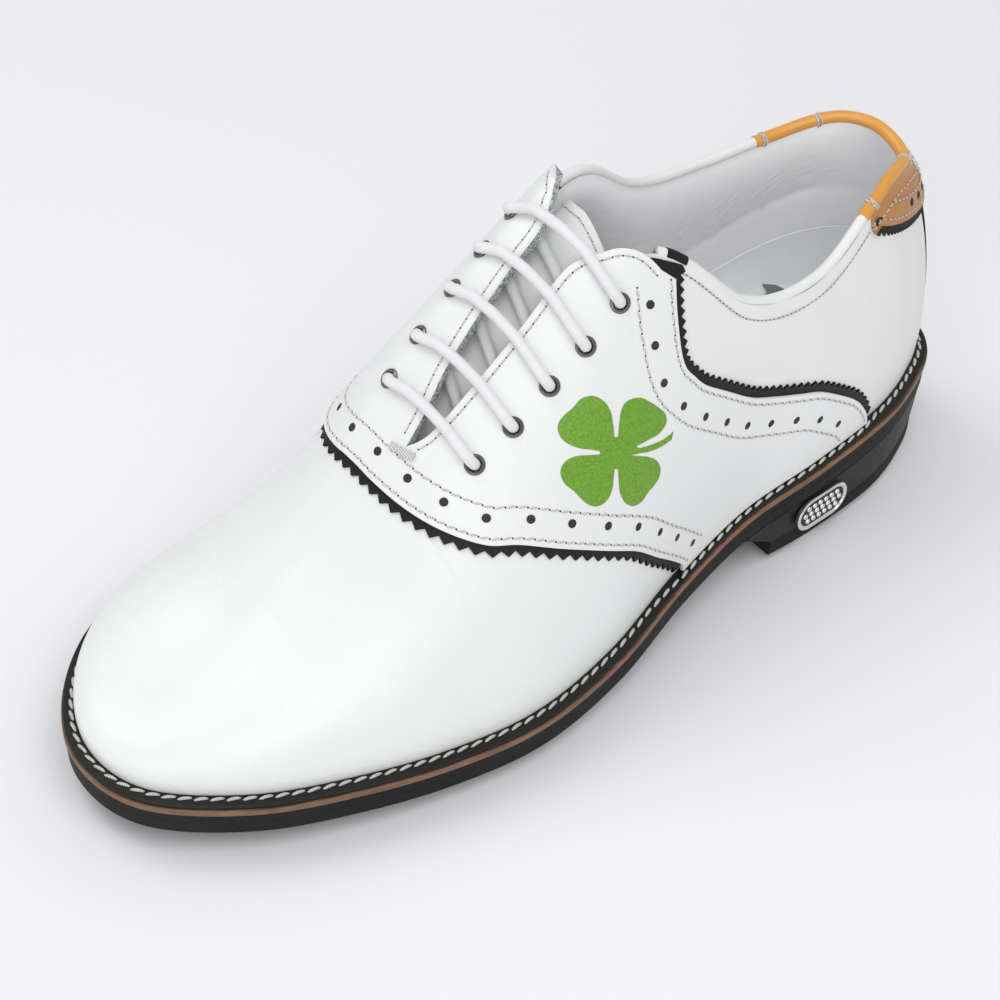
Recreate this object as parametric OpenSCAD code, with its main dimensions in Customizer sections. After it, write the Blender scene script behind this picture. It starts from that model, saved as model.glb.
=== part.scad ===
// Saddle golf shoe, left foot, in millimetres.
// +X points to the toe, +Y to the outer (lateral) side, +Z up.
// The origin is under the middle of the shoe, on the ground that its cleats stand on.

/* [Soles] */
// How far the welt and soles stand out past the upper
welt_w = 3.8; // [3:0.1:4.5]
// Thickness of the welt strip
welt_t = 1.9; // [1.5:0.1:2.2]
// Thickness of the leather midsole
midsole_t = 1.9; // [1.5:0.1:2.2]
// Thickness of the rubber outsole
outsole_t = 7.7; // [7.4:0.1:8]
// Height of the heel's tread above the ground
heel_gap = 2.8; // [2.5:0.1:3.2]
// Thickness of the heel's top lift
lift_t = 6; // [5:0.5:8]
// How far the foot of the heel is drawn in
heel_in = 1.1; // [0.5:0.1:2]

/* [Upper] */
// Thickness of the vamp and quarter leather
upper_t = 1.2; // [0.8:0.1:1.2]
// Thickness of the saddle leather
saddle_t = 1.1; // [0.8:0.1:1.4]
// Thickness of the pinked trims and the backstay
trim_t = 0.6; // [0.4:0.1:0.6]
// Thickness of the lining leather
lining_t = 1; // [0.6:0.1:1]
// Radius of the rolled collar edge
binding_r = 1.6; // [1.2:0.1:1.8]
// Distance from one pinked tooth to the next
tooth_pitch = 4.6; // [4:0.2:6]

/* [Lacing] */
// Diameter of the round lace
lace_d = 3.2; // [2.8:0.1:3.4]
// Radius of an eyelet's hole
eyelet_r = 1.9; // [1.8:0.05:2]
// Radius of an eyelet's flange
flange_r = 2.95; // [2.8:0.05:3.2]

/* [Cleats] */
// Radius of a cleat's hub
cleat_r = 9.4; // [9:0.1:10]
// How far a forefoot cleat stands out of its pocket's rim
cleat_h = 5.2; // [5:0.1:5.4]
// Radius of a cleat's stem
stem_r = 3.9; // [3.5:0.1:4.2]

/* [Hidden] */

// The last, as stations round the feather line (where the upper meets the welt).
// Each: feather x, y, z, outward lean, fullness of the side, fullness of the crown.
// Stations 0 to 13 run from the middle of the heel along the outer side to the toe tip,
// and the rest come back along the inner side.
LAST = [
    [-148, -5, 35.6, 3.2, .50, .41], [-144.4, 9.5, 35, 3.8, .43, .38],
    [-132.3, 18.7, 35, 3.4, .42, .38], [-112, 26.9, 34.8, 2.2, .45, .41],
    [-82, 31, 32.6, 2.4, .55, .49], [-52, 32, 28.7, 2.8, .59, .53],
    [-22, 38.3, 24.1, 2.6, .60, .49], [8, 47.4, 19, 2.2, .56, .44],
    [38, 52.3, 16.8, 2.1, .52, .45], [66, 50.2, 17.1, 2.4, .55, .49],
    [94, 43.8, 18.3, 2.5, .60, .53], [120.5, 33.5, 19.3, 2.5, .63, .56],
    [142.8, 16, 20.3, 2.9, .65, .58], [148.2, -5, 21.2, 3.6, .66, .60],
    [138.8, -26.4, 20.3, 3.9, .66, .60], [120, -43.4, 19.3, 3.8, .62, .56],
    [94, -51.6, 18.3, 3.2, .60, .52], [66, -51.2, 17.1, 2.4, .54, .44],
    [38, -45.2, 16.8, 2.6, .60, .48], [8, -37.2, 19, 3.2, .67, .55],
    [-22, -33.6, 24.1, 3.5, .70, .61], [-52, -34.8, 28.7, 2.9, .67, .61],
    [-82, -38.4, 32.6, 1.8, .62, .57], [-112, -37.6, 34.8, 1.4, .58, .54],
    [-132, -29.4, 35, 2.2, .59, .55], [-143.5, -18.2, 35, 3.4, .58, .50]];
TOE = 13;
// The ridge over the instep for stations 3 to 10: x, y, z.
RIDGE = [[-112.7, -5.6, 139.6], [-80.6, -6.8, 145.8], [-50.6, -9, 147.4], [-20.7, -11.7, 139.8],
    [9.1, -12.5, 118.3], [38.8, -11.8, 93], [66.5, -9.1, 65.2], [94.3, -7.1, 47.3]];
RIDGE_FIRST = 3;
RIDGE_LAST = 10;
// Height of the topline on the sections, as a share of each, for stations -6 (inner) to 6 (outer)
TOPLINE = [.668, .435, .399, .451, .485, .490, .506, .518, .535, .520, .381, .400, .652];

// Layers of the upper, measured outward from the outer face of vamp and quarters
lining_out = -2.6;
stiffener = [-1.4, -2.4];
trim_off = 0.15;
saddle_off = 0.95;
patch_off = 0.9;
seam = 0.003;

function wrap(i, n) = (i % n + n) % n;
function clamp(x, lo, hi) = min(max(x, lo), hi);
function mixed(a, b, f) = a + (b - a) * f;
function unit(v) = v / norm(v);
function cubic(a, b, c, d, f) = b + 0.5 * f * (c - a + f * (2 * a - 5 * b + 4 * c - d + f * (3 * (b - c) + d - a)));
// Smooth curve through a closed and an open list
function around(tab, x) = let (n = len(tab), i = floor(x), f = x - i)
    cubic(tab[wrap(i - 1, n)], tab[wrap(i, n)], tab[wrap(i + 1, n)], tab[wrap(i + 2, n)], f);
function along(tab, x) = let (m = len(tab) - 1, y = clamp(x, 0, m), i = min(floor(y), m - 1), f = y - i)
    cubic(tab[max(i - 1, 0)], tab[i], tab[i + 1], tab[min(i + 2, m)], f);
function steps(a, b, n) = [for (i = [0:n]) mixed(a, b, i / n)];
// Straight-line reading of a list of [x, y] pairs
function reading(tab, x, i = 0) = i >= len(tab) - 2 || x <= tab[i + 1][0]
    ? mixed(tab[i][1], tab[i + 1][1], clamp((x - tab[i][0]) / (tab[i + 1][0] - tab[i][0]), 0, 1))
    : reading(tab, x, i + 1);

function station(p) = let (q = wrap(p, 2 * TOE)) q <= TOE ? q : 2 * TOE - q;
function ridge_slope(i) = let (a = RIDGE[max(i - 1, 0)], b = RIDGE[min(i + 1, len(RIDGE) - 1)])
    (b.z - a.z) / (b.x - a.x);
RIDGE_SLOPED = [for (i = [0:len(RIDGE) - 1]) concat(RIDGE[i], [ridge_slope(i)])];
function ridge(t) = along(RIDGE_SLOPED, clamp(t, RIDGE_FIRST, RIDGE_LAST) - RIDGE_FIRST);

// The last's surface: p counts stations round the feather line, v runs up to the ridge
function last(p, v) = let (
    s = around(LAST, p), k = ridge(station(p)), d = [s.x - k.x, s.y - k.y], r = norm(d), u = d / r,
    low = [s.x, s.y, s.z],
    side = low + [u.x * s[3], u.y * s[3], s[4] * (k.z - s.z)],
    top = [k.x, k.y, k.z],
    crown = top + s[5] * r * [u.x, u.y, u.x * k[3]],
    w = 1 - v)
    w * w * w * low + 3 * w * w * v * side + 3 * w * v * v * crown + v * v * v * top;
function outward(p, v) = v > .975 ? unit([-ridge(station(p))[3], 0, 1]) : let (
    dp = last(p + .04, v) - last(p - .04, v), dv = last(p, v + .01) - last(p, v - .01))
    unit(cross(dp, dv) * -1);
function skin(p, v, off) = last(p, v) + off * outward(p, v);
// The same surface with w from -1 (inner feather) over 0 (ridge) to 1 (outer feather)
function chart(t, w) = w >= 0 ? [t, 1 - w] : [2 * TOE - t, 1 + w];
function over(t, w, off) = let (c = chart(t, w)) skin(c[0], c[1], off);
function over_out(t, w) = let (c = chart(t, w)) outward(c[0], c[1]);

function two(a, b, c, d) = [for (f = [[a, b, c], [a, c, d]]) if (f[0] != f[1] && f[1] != f[2] && f[0] != f[2]) f];
function flat(l) = [for (a = l) for (b = a) b];

// A thin panel round the heel: p along the feather, v up from low(p) to high(p)
module panel(ps, lows, highs, nv, outer, inner) {
    np = len(ps);
    m = nv + 1;
    pts = [for (off = [outer, inner]) for (i = [0:np - 1]) for (j = [0:nv])
        skin(ps[i], mixed(lows[i], highs[i], j / nv), off)];
    k = np * m;
    faces = flat(concat(
        [for (i = [0:np - 2]) for (j = [0:nv - 1]) let (a = i * m + j)
            concat(two(a, a + m, a + m + 1, a + 1), two(k + a, k + a + 1, k + a + m + 1, k + a + m))],
        [for (i = [0:np - 2]) let (a = i * m, b = a + nv)
            concat(two(a + m, a, k + a, k + a + m), two(b, b + m, k + b + m, k + b))],
        [for (j = [0:nv - 1]) let (a = j, b = (np - 1) * m + j)
            concat(two(a, a + 1, k + a + 1, k + a), two(b + 1, b, k + b, k + b + 1))]));
    polyhedron(pts, faces, convexity = 6);
}

// A thin panel over the instep. Each row is [t, inner edge, slit's inner edge, slit's outer edge,
// outer edge] in w, and may end with an offset of its own. The slit closes at row closed_at, and toe
// says that the last row is the toe tip.
module hood(rows, nj, closed_at, toe, outer, inner) {
    n = len(rows) - 1;
    last_c = 2 * nj + 1;
    per = last_c + 1;
    k = (n + 1) * per;
    pole = min([for (i = [0:n]) if (rows[i][0] >= RIDGE_LAST || i == n) i]);
    function w_at(r, c) = c <= nj ? mixed(r[1], r[2], c / nj) : mixed(r[3], r[4], (c - nj - 1) / nj);
    function id(i, c) = let (
        c1 = i >= closed_at && c == nj + 1 ? nj : c,
        c2 = toe && i == n ? min(c1, last_c - c1) : c1)
        toe && i > pole && c2 == nj ? pole * per + nj : i * per + c2;
    pts = [for (off = [outer, inner]) for (r = rows) for (c = [0:last_c])
        over(r[0], w_at(r, c), off + (len(r) > 5 ? r[5] : 0))];
    cols = [for (c = [0:last_c - 1]) if (c != nj) c];
    cells = flat([for (i = [0:n - 1]) for (c = cols) two(id(i, c), id(i, c + 1), id(i + 1, c + 1), id(i + 1, c))]);
    edge = concat(
        [for (c = [0:nj]) id(0, c)], [for (i = [1:1:closed_at]) id(i, nj)],
        [for (i = [closed_at - 1:-1:0]) id(i, nj + 1)], [for (c = [nj + 2:last_c]) id(0, c)],
        [for (i = [1:n]) id(i, last_c)], toe ? [] : [for (c = [last_c - 1:-1:1]) id(n, c)],
        [for (i = [toe ? n - 1 : n:-1:1]) id(i, 0)]);
    m = len(edge);
    rim = flat([for (e = [0:m - 1]) let (a = edge[e], b = edge[(e + 1) % m]) two(b, a, k + a, k + b)]);
    polyhedron(pts, concat(cells, [for (f = cells) [k + f[2], k + f[1], k + f[0]]], rim), convexity = 8);
}

function rim(p, o) = let (s = around(LAST, p), d = around(LAST, p + .05) - around(LAST, p - .05))
    [s.x, s.y] + o * unit([-d.y, d.x]);
// A layer of the sole between stations a and b: offset past the feather, top and bottom from it
module slab(a, b, n, off, top, bottom, drawn = 0, cut = 0) {
    function level(p, h, flat_z) = h == undef ? flat_z : around(LAST, p).z + h;
    pts = [for (i = [0:n]) let (t = mixed(a, b, i / n), t2 = mixed(a, b - cut, i / n)) each [
        concat(rim(t, off), [level(t, top)]), concat(rim(2 * TOE - t, off), [level(t, top)]),
        concat(rim(2 * TOE - t2, off - drawn), [is_list(bottom) ? bottom[0] : level(t2, bottom)]),
        concat(rim(t2, off - drawn), [is_list(bottom) ? bottom[0] : level(t2, bottom)])]];
    faces = flat(concat(
        [for (i = [0:n - 1]) for (j = [0:3]) let (q = i * 4, j2 = (j + 1) % 4)
            two(q + j, q + 4 + j, q + 4 + j2, q + j2)],
        [two(0, 1, 2, 3)], [two(4 * n + 3, 4 * n + 2, 4 * n + 1, 4 * n)]));
    polyhedron(pts, faces, convexity = 4);
}

// A closed band round the feather line, from offset lo to offset hi
module ring(lo, hi, top, bottom, n = 96) {
    pts = [for (i = [0:n - 1]) let (p = i * 2 * TOE / n, z = around(LAST, p).z) each [
        concat(rim(p, hi), [z + top]), concat(rim(p, lo), [z + top]),
        concat(rim(p, lo), [z + bottom]), concat(rim(p, hi), [z + bottom])]];
    faces = flat([for (i = [0:n - 1]) for (j = [0:3]) let (q = i * 4, r = ((i + 1) % n) * 4, j2 = (j + 1) % 4)
        two(q + j, r + j, r + j2, q + j2)]);
    polyhedron(pts, faces, convexity = 4);
}

// A tube of radius r through a list of points
module tube(path, r, sides = 8) {
    n = len(path) - 1;
    function ahead(i) = unit(path[min(i + 1, n)] - path[max(i - 1, 0)]);
    function carried(u, t) = unit(u - (u * t) * t);
    frames = [for (i = 0, u = carried([.3, .2, 1], ahead(0)); i <= n;
        i = i + 1, u = i <= n ? carried(u, ahead(i)) : u) u];
    pts = [for (i = [0:n]) let (u = frames[i], w = cross(ahead(i), u)) for (s = [0:sides - 1])
        path[i] + r * (cos(360 * s / sides) * u + sin(360 * s / sides) * w)];
    faces = concat(
        flat([for (i = [0:n - 1]) for (s = [0:sides - 1]) let (a = i * sides + s, b = i * sides + (s + 1) % sides)
            two(a, a + sides, b + sides, b)]),
        [[for (s = [0:sides - 1]) s]], [[for (s = [sides - 1:-1:0]) n * sides + s]]);
    polyhedron(pts, faces, convexity = 8);
}

// A strip that follows an edge drawn on the upper: from `under` mm inside it to `out` mm outside,
// with pinked teeth `tooth` mm deep. Points of the edge are [t, w].
function edge_shift(c, ahead, d) = let (
    e = .02, st = (over(c[0] + e, c[1], 0) - over(c[0] - e, c[1], 0)) / (2 * e),
    sw = (over(c[0], c[1] + e, 0) - over(c[0], c[1] - e, 0)) / (2 * e),
    b = unit(cross(over_out(c[0], c[1]), ahead)) * d,
    g = [st * st, st * sw, sw * sw], h = [b * st, b * sw], det = g[0] * g[2] - g[1] * g[1])
    c + [(h[0] * g[2] - h[1] * g[1]) / det, (h[1] * g[0] - h[0] * g[1]) / det];
module edge_strip(edge, under, out, tooth, off, thick) {
    n = len(edge) - 1;
    ahead = [for (i = [0:n]) let (a = edge[max(i - 1, 0)], b = edge[min(i + 1, n)])
        unit(over(b[0], b[1], 0) - over(a[0], a[1], 0))];
    chart_pts = [for (i = [0:n]) [for (d = [-under, out + (i % 2) * tooth]) edge_shift(edge[i], ahead[i], d)]];
    pts = [for (o = [off + thick, off]) for (i = [0:n]) for (c = chart_pts[i]) over(c[0], c[1], o)];
    k = 2 * (n + 1);
    faces = flat(concat(
        [for (i = [0:n - 1]) let (a = 2 * i) concat(two(a, a + 2, a + 3, a + 1),
            two(k + a, k + a + 1, k + a + 3, k + a + 2), two(a + 2, a, k + a, k + a + 2),
            two(a + 1, a + 3, k + a + 3, k + a + 1))],
        [two(0, 1, k + 1, k), two(2 * n + 1, 2 * n, k + 2 * n, k + 2 * n + 1)]));
    polyhedron(pts, [for (f = faces) [f[2], f[1], f[0]]], convexity = 8);
}
// An edge through hand-set points, cut into steps of about `pitch` mm
function edge_walk(tab, pitch) = let (m = len(tab) - 1, q = steps(0, m, 12 * m),
    c = [for (x = q) along(tab, x)], xyz = [for (a = c) over(a[0], a[1], 0)],
    run = [for (i = 0, s = 0; i < len(q); i = i + 1, s = i < len(q) ? s + norm(xyz[i] - xyz[i - 1]) : s) s],
    total = run[len(run) - 1], count = 2 * round(total / pitch))
    [for (j = [0:count]) let (x = reading([for (i = [0:len(q) - 1]) [run[i], q[i]]], j * total / count)) along(tab, x)];

// Edge of the saddle's front band on one side, from the welt up to the ridge: [t, w]
FRONT_EDGE = [[5.95, .985], [6.4, .90], [6.75, .82], [7.15, .74], [7.55, .65], [7.9, .56], [8.15, .50],
    [8.35, .42], [8.5, .33], [8.6, .23], [8.65, .12], [8.66, 0]];
// Edge of the saddle's rear band, from the collar down to the welt
REAR_EDGE = [[5.79, .44], [5.86, .50], [5.9, .57], [5.88, .61], [5.8, .64], [5.65, .68], [5.35, .73],
    [5.0, .78], [4.65, .81], [4.35, .83], [4.05, .85], [3.7, .89], [3.5, .92], [3.35, .96], [3.3, .985]];
// The slit between the facings: [t, inner edge w, outer edge w]
SLIT_IN = [[6.28, -.02], [6.4, .03], [6.6, .07], [7.0, .08], [7.7, .11], [8.05, .14], [8.3, .15]];
SLIT_OUT = [[5.9, .40], [6.0, .34], [6.15, .29], [6.3, .26], [6.6, .21], [7.6, .21], [8.1, .19], [8.3, .15]];
// Upper limit of the saddle behind the facings, lateral, as w
SADDLE_TOP = concat([for (i = [len(REAR_EDGE) - 1:-1:2]) REAR_EDGE[i]], [for (i = [1:7]) SLIT_OUT[i]]);
SADDLE_TOP_MEDIAL = concat([for (i = [len(REAR_EDGE) - 1:-1:2]) [REAR_EDGE[i][0], -REAR_EDGE[i][1]]],
    [[5.9, -.39], [6.0, -.32], [6.08, -.22], [6.16, -.12]], SLIT_IN);
saddle_ts = [3.34, 3.5, 3.7, 3.95, 4.2, 4.45, 4.7, 4.95, 5.2, 5.4, 5.6, 5.75, 5.85, 5.895, 5.94, 6.0, 6.08, 6.16,
    6.28, 6.4, 6.6, 6.75, 6.9, 7.05, 7.2, 7.35, 7.5, 7.65, 7.8, 7.95, 8.1, 8.2, 8.3, 8.38, 8.46, 8.53, 8.59, 8.63];
throat_row = 32;
SADDLE_ROWS = [for (i = [0:len(saddle_ts) - 1]) let (t = saddle_ts[i],
    low = t < FRONT_EDGE[0][0] ? .99 : reading(FRONT_EDGE, t),
    mid = reading(SLIT_OUT, t))
    i < throat_row ? [t, -low, reading(SADDLE_TOP_MEDIAL, t), reading(SADDLE_TOP, t), low]
        : [t, -low, .15, .15, max(low, .16)]];

vamp_ts = concat([5.8, 5.95, 6.1, 6.25], steps(6.42, 8.42, 10), [8.5], steps(8.7, 9.85, 6), steps(10, 12.9, 14), [13]);
vamp_closed = 15;
function vamp_back(t) = max(reading(FRONT_EDGE, t) - .13, .05);
VAMP_ROWS = [for (i = [0:len(vamp_ts) - 1]) let (t = vamp_ts[i], w = vamp_back(t))
    i < vamp_closed ? [t, -1 + seam, -w, w, 1 - seam] : [t, -1 + seam, 0, 0, 1 - seam]];

lining_ts = concat(steps(6.36, 8.3, 9), [for (t = vamp_ts) if (t > 8.4) t]);
lining_closed = 9;
LINING_ROWS = [for (i = [0:len(lining_ts) - 1]) let (t = lining_ts[i], c = max(0, min(.15, .15 * (9.85 - t))))
    i < lining_closed ? [t, -1 + seam, reading(SLIT_IN, t), reading(SLIT_OUT, t), 1 - seam]
        : [t, -1 + seam, i == lining_closed ? .15 : c, i == lining_closed ? .15 : c, 1 - seam]];
puff_ts = [for (t = vamp_ts) if (t > 10.3) t];

function topline(p) = along(TOPLINE, p + 6);
quarter_ps = concat(steps(0, 5.72, 24), [5.8, 5.95, 6.1, 6.25]);
// The quarter's front flap clears the vamp's, which reaches back under the saddle
quarter_lows = [for (p = quarter_ps) p < 5.75 ? seam : 1.025 - vamp_back(p)];
quarter_tops = [for (p = quarter_ps) topline(p) - .012];
quarter_tops_medial = [for (p = quarter_ps) topline(-p) - .012];

// Eyelets as [t, w], from the top pair to the bottom pair
EYELETS_LATERAL = [[6.35, .38], [6.75, .38], [7.15, .37], [7.55, .36], [7.95, .34]];
EYELETS_MEDIAL = [[6.6, -.14], [6.95, -.12], [7.3, -.09], [7.7, -.07], [8.06, -.05]];
eyelet_wall = 0.35;
face = saddle_off + saddle_t;
module seat(t, w) {
    n = over_out(t, w);
    translate(over(t, w, face)) rotate([0, acos(n.z), atan2(n.y, n.x)]) children();
}
module eyelet_holes(list) for (e = list) seat(e[0], e[1])
    translate([0, 0, -9]) cylinder(h = 12, r = eyelet_r + eyelet_wall, $fn = 24);
module eyelet() rotate_extrude($fn = 24)
    polygon([[eyelet_r, -6], [flange_r - .6, -6.32], [flange_r - .3, -6.2], [eyelet_r + eyelet_wall, -6.15],
        [eyelet_r + eyelet_wall, 0], [flange_r, .05], [flange_r - .15, .35], [eyelet_r + .45, .6], [eyelet_r, .3]]);

// Where the cleats sit: x, y and the height of the pocket's roof
CLEATS = [[92, 14], [80, -27], [45, 34], [40, -26], [17, 6], [-82, 22.3], [-82, -26], [-124, -5]];
heel_cleats = 5;
pocket = 1.4;
function sole_bottom(x) = reading([for (t = [3:12]) [LAST[t].x, LAST[t].z]], x) - welt_t - midsole_t - outsole_t;
function cleat_rim(i) = i >= heel_cleats ? heel_gap : sole_bottom(CLEATS[i].x);
function cleat_out(i) = cleat_rim(i) < cleat_h + .4 ? cleat_rim(i) : cleat_h;
module at_cleat(i) translate([CLEATS[i].x, CLEATS[i].y, cleat_rim(i)]) children();
module cleat(i) {
    low = -cleat_out(i);
    color("whitesmoke") at_cleat(i) {
        rotate_extrude($fn = 48) polygon([[0, low + .8], [2.6, low + .5], [3.4, low + 1.3], [cleat_r - .9, low + 1.5],
            [cleat_r, pocket - 1], [cleat_r, pocket - .3], [stem_r, pocket - .3], [stem_r, pocket + 3], [0, pocket + 3]]);
        for (k = [0:7]) rotate(45 * k) translate([cleat_r - 1.6, 0, low]) cylinder(h = 2, r1 = 1.1, r2 = 1.5, $fn = 16);
    }
}
module cleat_pockets(ids) for (i = ids) at_cleat(i) {
    translate([0, 0, -3]) cylinder(h = pocket + 3, r = cleat_r + .7, $fn = 48);
    translate([0, 0, pocket - .1]) cylinder(h = 3.7, r = 6.5, $fn = 32);
}

// Depth of the stack under the feather line
film = .05;
out_top = -welt_t - midsole_t;
out_bottom = out_top - outsole_t;
sole_step = 12.96 / 60;

module outsole() color("#1c1c1c") difference() {
    slab(.02, 12.98, 60, welt_w, out_top - film, out_bottom);
    cleat_pockets([0:heel_cleats - 1]);
    nails(.05);
}
module midsole() color("#7a5237") slab(.02, 12.98, 60, welt_w - .1, -welt_t - 2 * film, out_top);
module welt() color("#1c1c1c") ring(-3, welt_w, 0, -welt_t);
module welt_thread() color("ivory") ring(2.3, 3, .5, .06);
shank_y = [-11, 2];
module shank() color("silver") {
    spine = [for (t = steps(4, 6, 12)) around(LAST, t)];
    rotate([90, 0, 0]) translate([0, 0, -shank_y[1]]) linear_extrude(shank_y[1] - shank_y[0])
        polygon(concat([for (s = spine) [s.x, s.z - .2]],
            [for (i = [len(spine) - 1:-1:0]) [spine[i].x, spine[i].z + .2 - welt_t]]));
}
module cork_filler() color("peru") slab(6.5, 12.9, 30, -3.4, -film, film - welt_t);
module insole_board() color("burlywood") slab(.1, 12.9, 50, -4.7, 2, film);
module foam_insole() color("#cfcfd4") slab(.12, 12.75, 50, -6, 6.4, 2 + film);
module sock_liner() color("white") slab(.12, 12.7, 50, -7.4, 7.4, 6.4 + film);

heel_steps = 23;
heel_t = .02 + heel_steps * sole_step;
breast_cut = .44;
lift_top = heel_gap + lift_t;
module heel_block() color("#1c1c1c") difference() {
    slab(.02, heel_t, heel_steps, welt_w - .3, out_bottom - film, [lift_top], heel_in, breast_cut);
    nails(.05);
    pins(.05);
}
module heel_top_lift() color("#262626") difference() {
    slab_flat(heel_gap, lift_top - film);
    cleat_pockets([heel_cleats:len(CLEATS) - 1]);
}
module slab_flat(low, high) {
    reach = heel_t - breast_cut;
    translate([0, 0, low]) linear_extrude(high - low)
        polygon([for (p = steps(-reach, reach, 44)) rim(p, welt_w - .3 - heel_in)]);
}
module nails(gap = 0) for (a = [[-134, 4], [-134, -14], [-104, 17], [-104, -26]])
    translate([a.x, a.y, 13 - gap]) cylinder(h = 17 + 2 * gap, r = 1 + gap, $fn = 16);
module heel_nails() color("silver") nails();
module cleat_receptacles() color("dimgray") for (i = [0:len(CLEATS) - 1]) at_cleat(i)
    translate([0, 0, pocket]) difference() {
        cylinder(h = 3.6, r = 6.4, $fn = 32);
        translate([0, 0, -1]) cylinder(h = 4.3, r = stem_r + .3, $fn = 32);
    }

module vamp() color("white") hood(VAMP_ROWS, 8, vamp_closed, true, 0, -upper_t);
module vamp_lining() color("#f0f0f0") difference() {
    hood(LINING_ROWS, 8, lining_closed, true, lining_out, lining_out - lining_t);
    eyelet_holes(EYELETS_LATERAL);
    eyelet_holes(EYELETS_MEDIAL);
}
module toe_puff() color("tan")
    hood([for (t = puff_ts) [t, -1 + seam, 0, 0, 1 - seam]], 8, 0, true, stiffener[0], stiffener[1]);
module saddle() color("white") difference() {
    hood(SADDLE_ROWS, 12, throat_row, false, saddle_off + saddle_t, saddle_off);
    eyelet_holes(EYELETS_LATERAL);
    eyelet_holes(EYELETS_MEDIAL);
}
function mirrored(edge) = [for (i = [len(edge) - 1:-1:0]) [edge[i][0], -edge[i][1]]];
front_line = concat(FRONT_EDGE, [for (i = [len(FRONT_EDGE) - 2:-1:0]) [FRONT_EDGE[i][0], -FRONT_EDGE[i][1]]]);
module front_trim() color("#1c1c1c")
    edge_strip(edge_walk(front_line, tooth_pitch), 4.5, .7, 2, trim_off, trim_t);
module rear_trim_lateral() color("#1c1c1c")
    edge_strip(edge_walk(REAR_EDGE, tooth_pitch), 4.5, .7, 2, trim_off, trim_t);
// Cut clear of the saddle where it bends most
module rear_trim_medial() color("#1c1c1c") difference() {
    edge_strip(edge_walk(mirrored(REAR_EDGE), tooth_pitch), 4, .7, 2, trim_off, trim_t);
    hood(SADDLE_ROWS, 12, throat_row, false, saddle_off + saddle_t, saddle_off - film);
}

back_gap = .03;
function sided(s, l) = s > 0 ? l : [for (i = [len(l) - 1:-1:0]) l[i]];
module quarter_side(s, lows, tops, off, thick) panel([for (p = sided(s, quarter_ps)) s * max(p, back_gap)],
    sided(s, lows), sided(s, tops), 6, off, off - thick);
module quarter_lateral() color("white") quarter_side(1, quarter_lows, quarter_tops, 0, upper_t);
module quarter_medial() color("white") quarter_side(-1, quarter_lows, quarter_tops_medial, 0, upper_t);
lining_lows = [for (p = quarter_ps) seam];
module quarter_lining_lateral() color("#ededf0") quarter_side(1, lining_lows, quarter_tops, lining_out, lining_t);
module quarter_lining_medial() color("#ededf0")
    quarter_side(-1, lining_lows, quarter_tops_medial, lining_out, lining_t);
module heel_counter() color("tan") panel(steps(-4.2, 4.2, 34), [for (i = [0:34]) .01],
    [for (p = steps(-4.2, 4.2, 34)) .28 - .012 * abs(p)], 4, stiffener[0], stiffener[1]);

stay_ts = steps(6.5, 8.2, 10);
module stay(lows, highs) hood([for (i = [0:len(stay_ts) - 1]) let (m = (lows[i] + highs[i]) / 2)
    [stay_ts[i], lows[i], m, m, highs[i]]], 4, 0, false, 0, stiffener[1]);
module facing_stay_lateral() color("#d8d8d8") difference() {
    stay([for (t = stay_ts) reading(SLIT_OUT, t) + .03], [for (t = stay_ts) min(.5, vamp_back(t) - .03)]);
    eyelet_holes(EYELETS_LATERAL);
}
module facing_stay_medial() color("#d8d8d8") difference() {
    stay([for (t = stay_ts) -.26], [for (t = stay_ts) reading(SLIT_IN, t) - .03]);
    eyelet_holes(EYELETS_MEDIAL);
}

module backstay() color("#1c1c1c") panel(steps(-.95, .95, 10), [for (i = [0:10]) seam],
    [for (p = steps(-.95, .95, 10)) patch_low(0) - .045], 8, trim_off + trim_t, trim_off);
patch_ps = steps(-3.3, 3.3, 30);
function patch_low(p) = min(.415 + .05 * pow(abs(p) / 3.3, 3), topline(p) - .035);
module heel_patch() color("#c98a52") panel(patch_ps, [for (p = patch_ps) patch_low(p)],
    [for (p = patch_ps) topline(p) - .012], 3, patch_off + .8, patch_off);
trim_ps = steps(-3.3, 3.3, 64);
module heel_patch_trim() color("#1c1c1c") panel(trim_ps,
    [for (i = [0:64]) patch_low(trim_ps[i]) - .02 - .012 * (i % 2)], [for (p = trim_ps) patch_low(p) + .022],
    1, patch_off - .05, trim_off + .1);

function collar(p) = skin(p, topline(p) + .008, -1.8);
module heel_binding() color("#e0a040") tube([for (p = steps(-3.4, 3.4, 36)) collar(p)], binding_r);
module collar_binding_lateral() color("white") tube([for (p = steps(3.45, 5.85, 16)) collar(p)], binding_r);
module collar_binding_medial() color("white") tube([for (p = steps(-3.45, -5.95, 16)) collar(p)], binding_r);

tongue_off = -8.2;
tongue_t = 2;
tongue_hinge = 8.28;
function tongue_w(t) = reading([[6.0, .26], [6.2, .36], [7, .42], [8.2, .40], [8.9, .34]], t);
// The tongue lies under the lace and rises to the lining where it is sewn down
function tongue_rise(t) = 4.2 * clamp((t - tongue_hinge) / .55, 0, 1);
module tongue_part(ts) hood([for (t = ts) [t, .08 - tongue_w(t), .1, .1, .12 + tongue_w(t), tongue_rise(t)]],
    5, 0, false, tongue_off, tongue_off - tongue_t);
module tongue() color("white") tongue_part(steps(6.25, tongue_hinge - .03, 14));
module tongue_root() color("white") tongue_part(steps(tongue_hinge + .03, 8.9, 5));
module bar_tack() color("ivory") seat(8.34, .15) translate([0, 0, .45]) cube([2, 8, .8], center = true);

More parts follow.
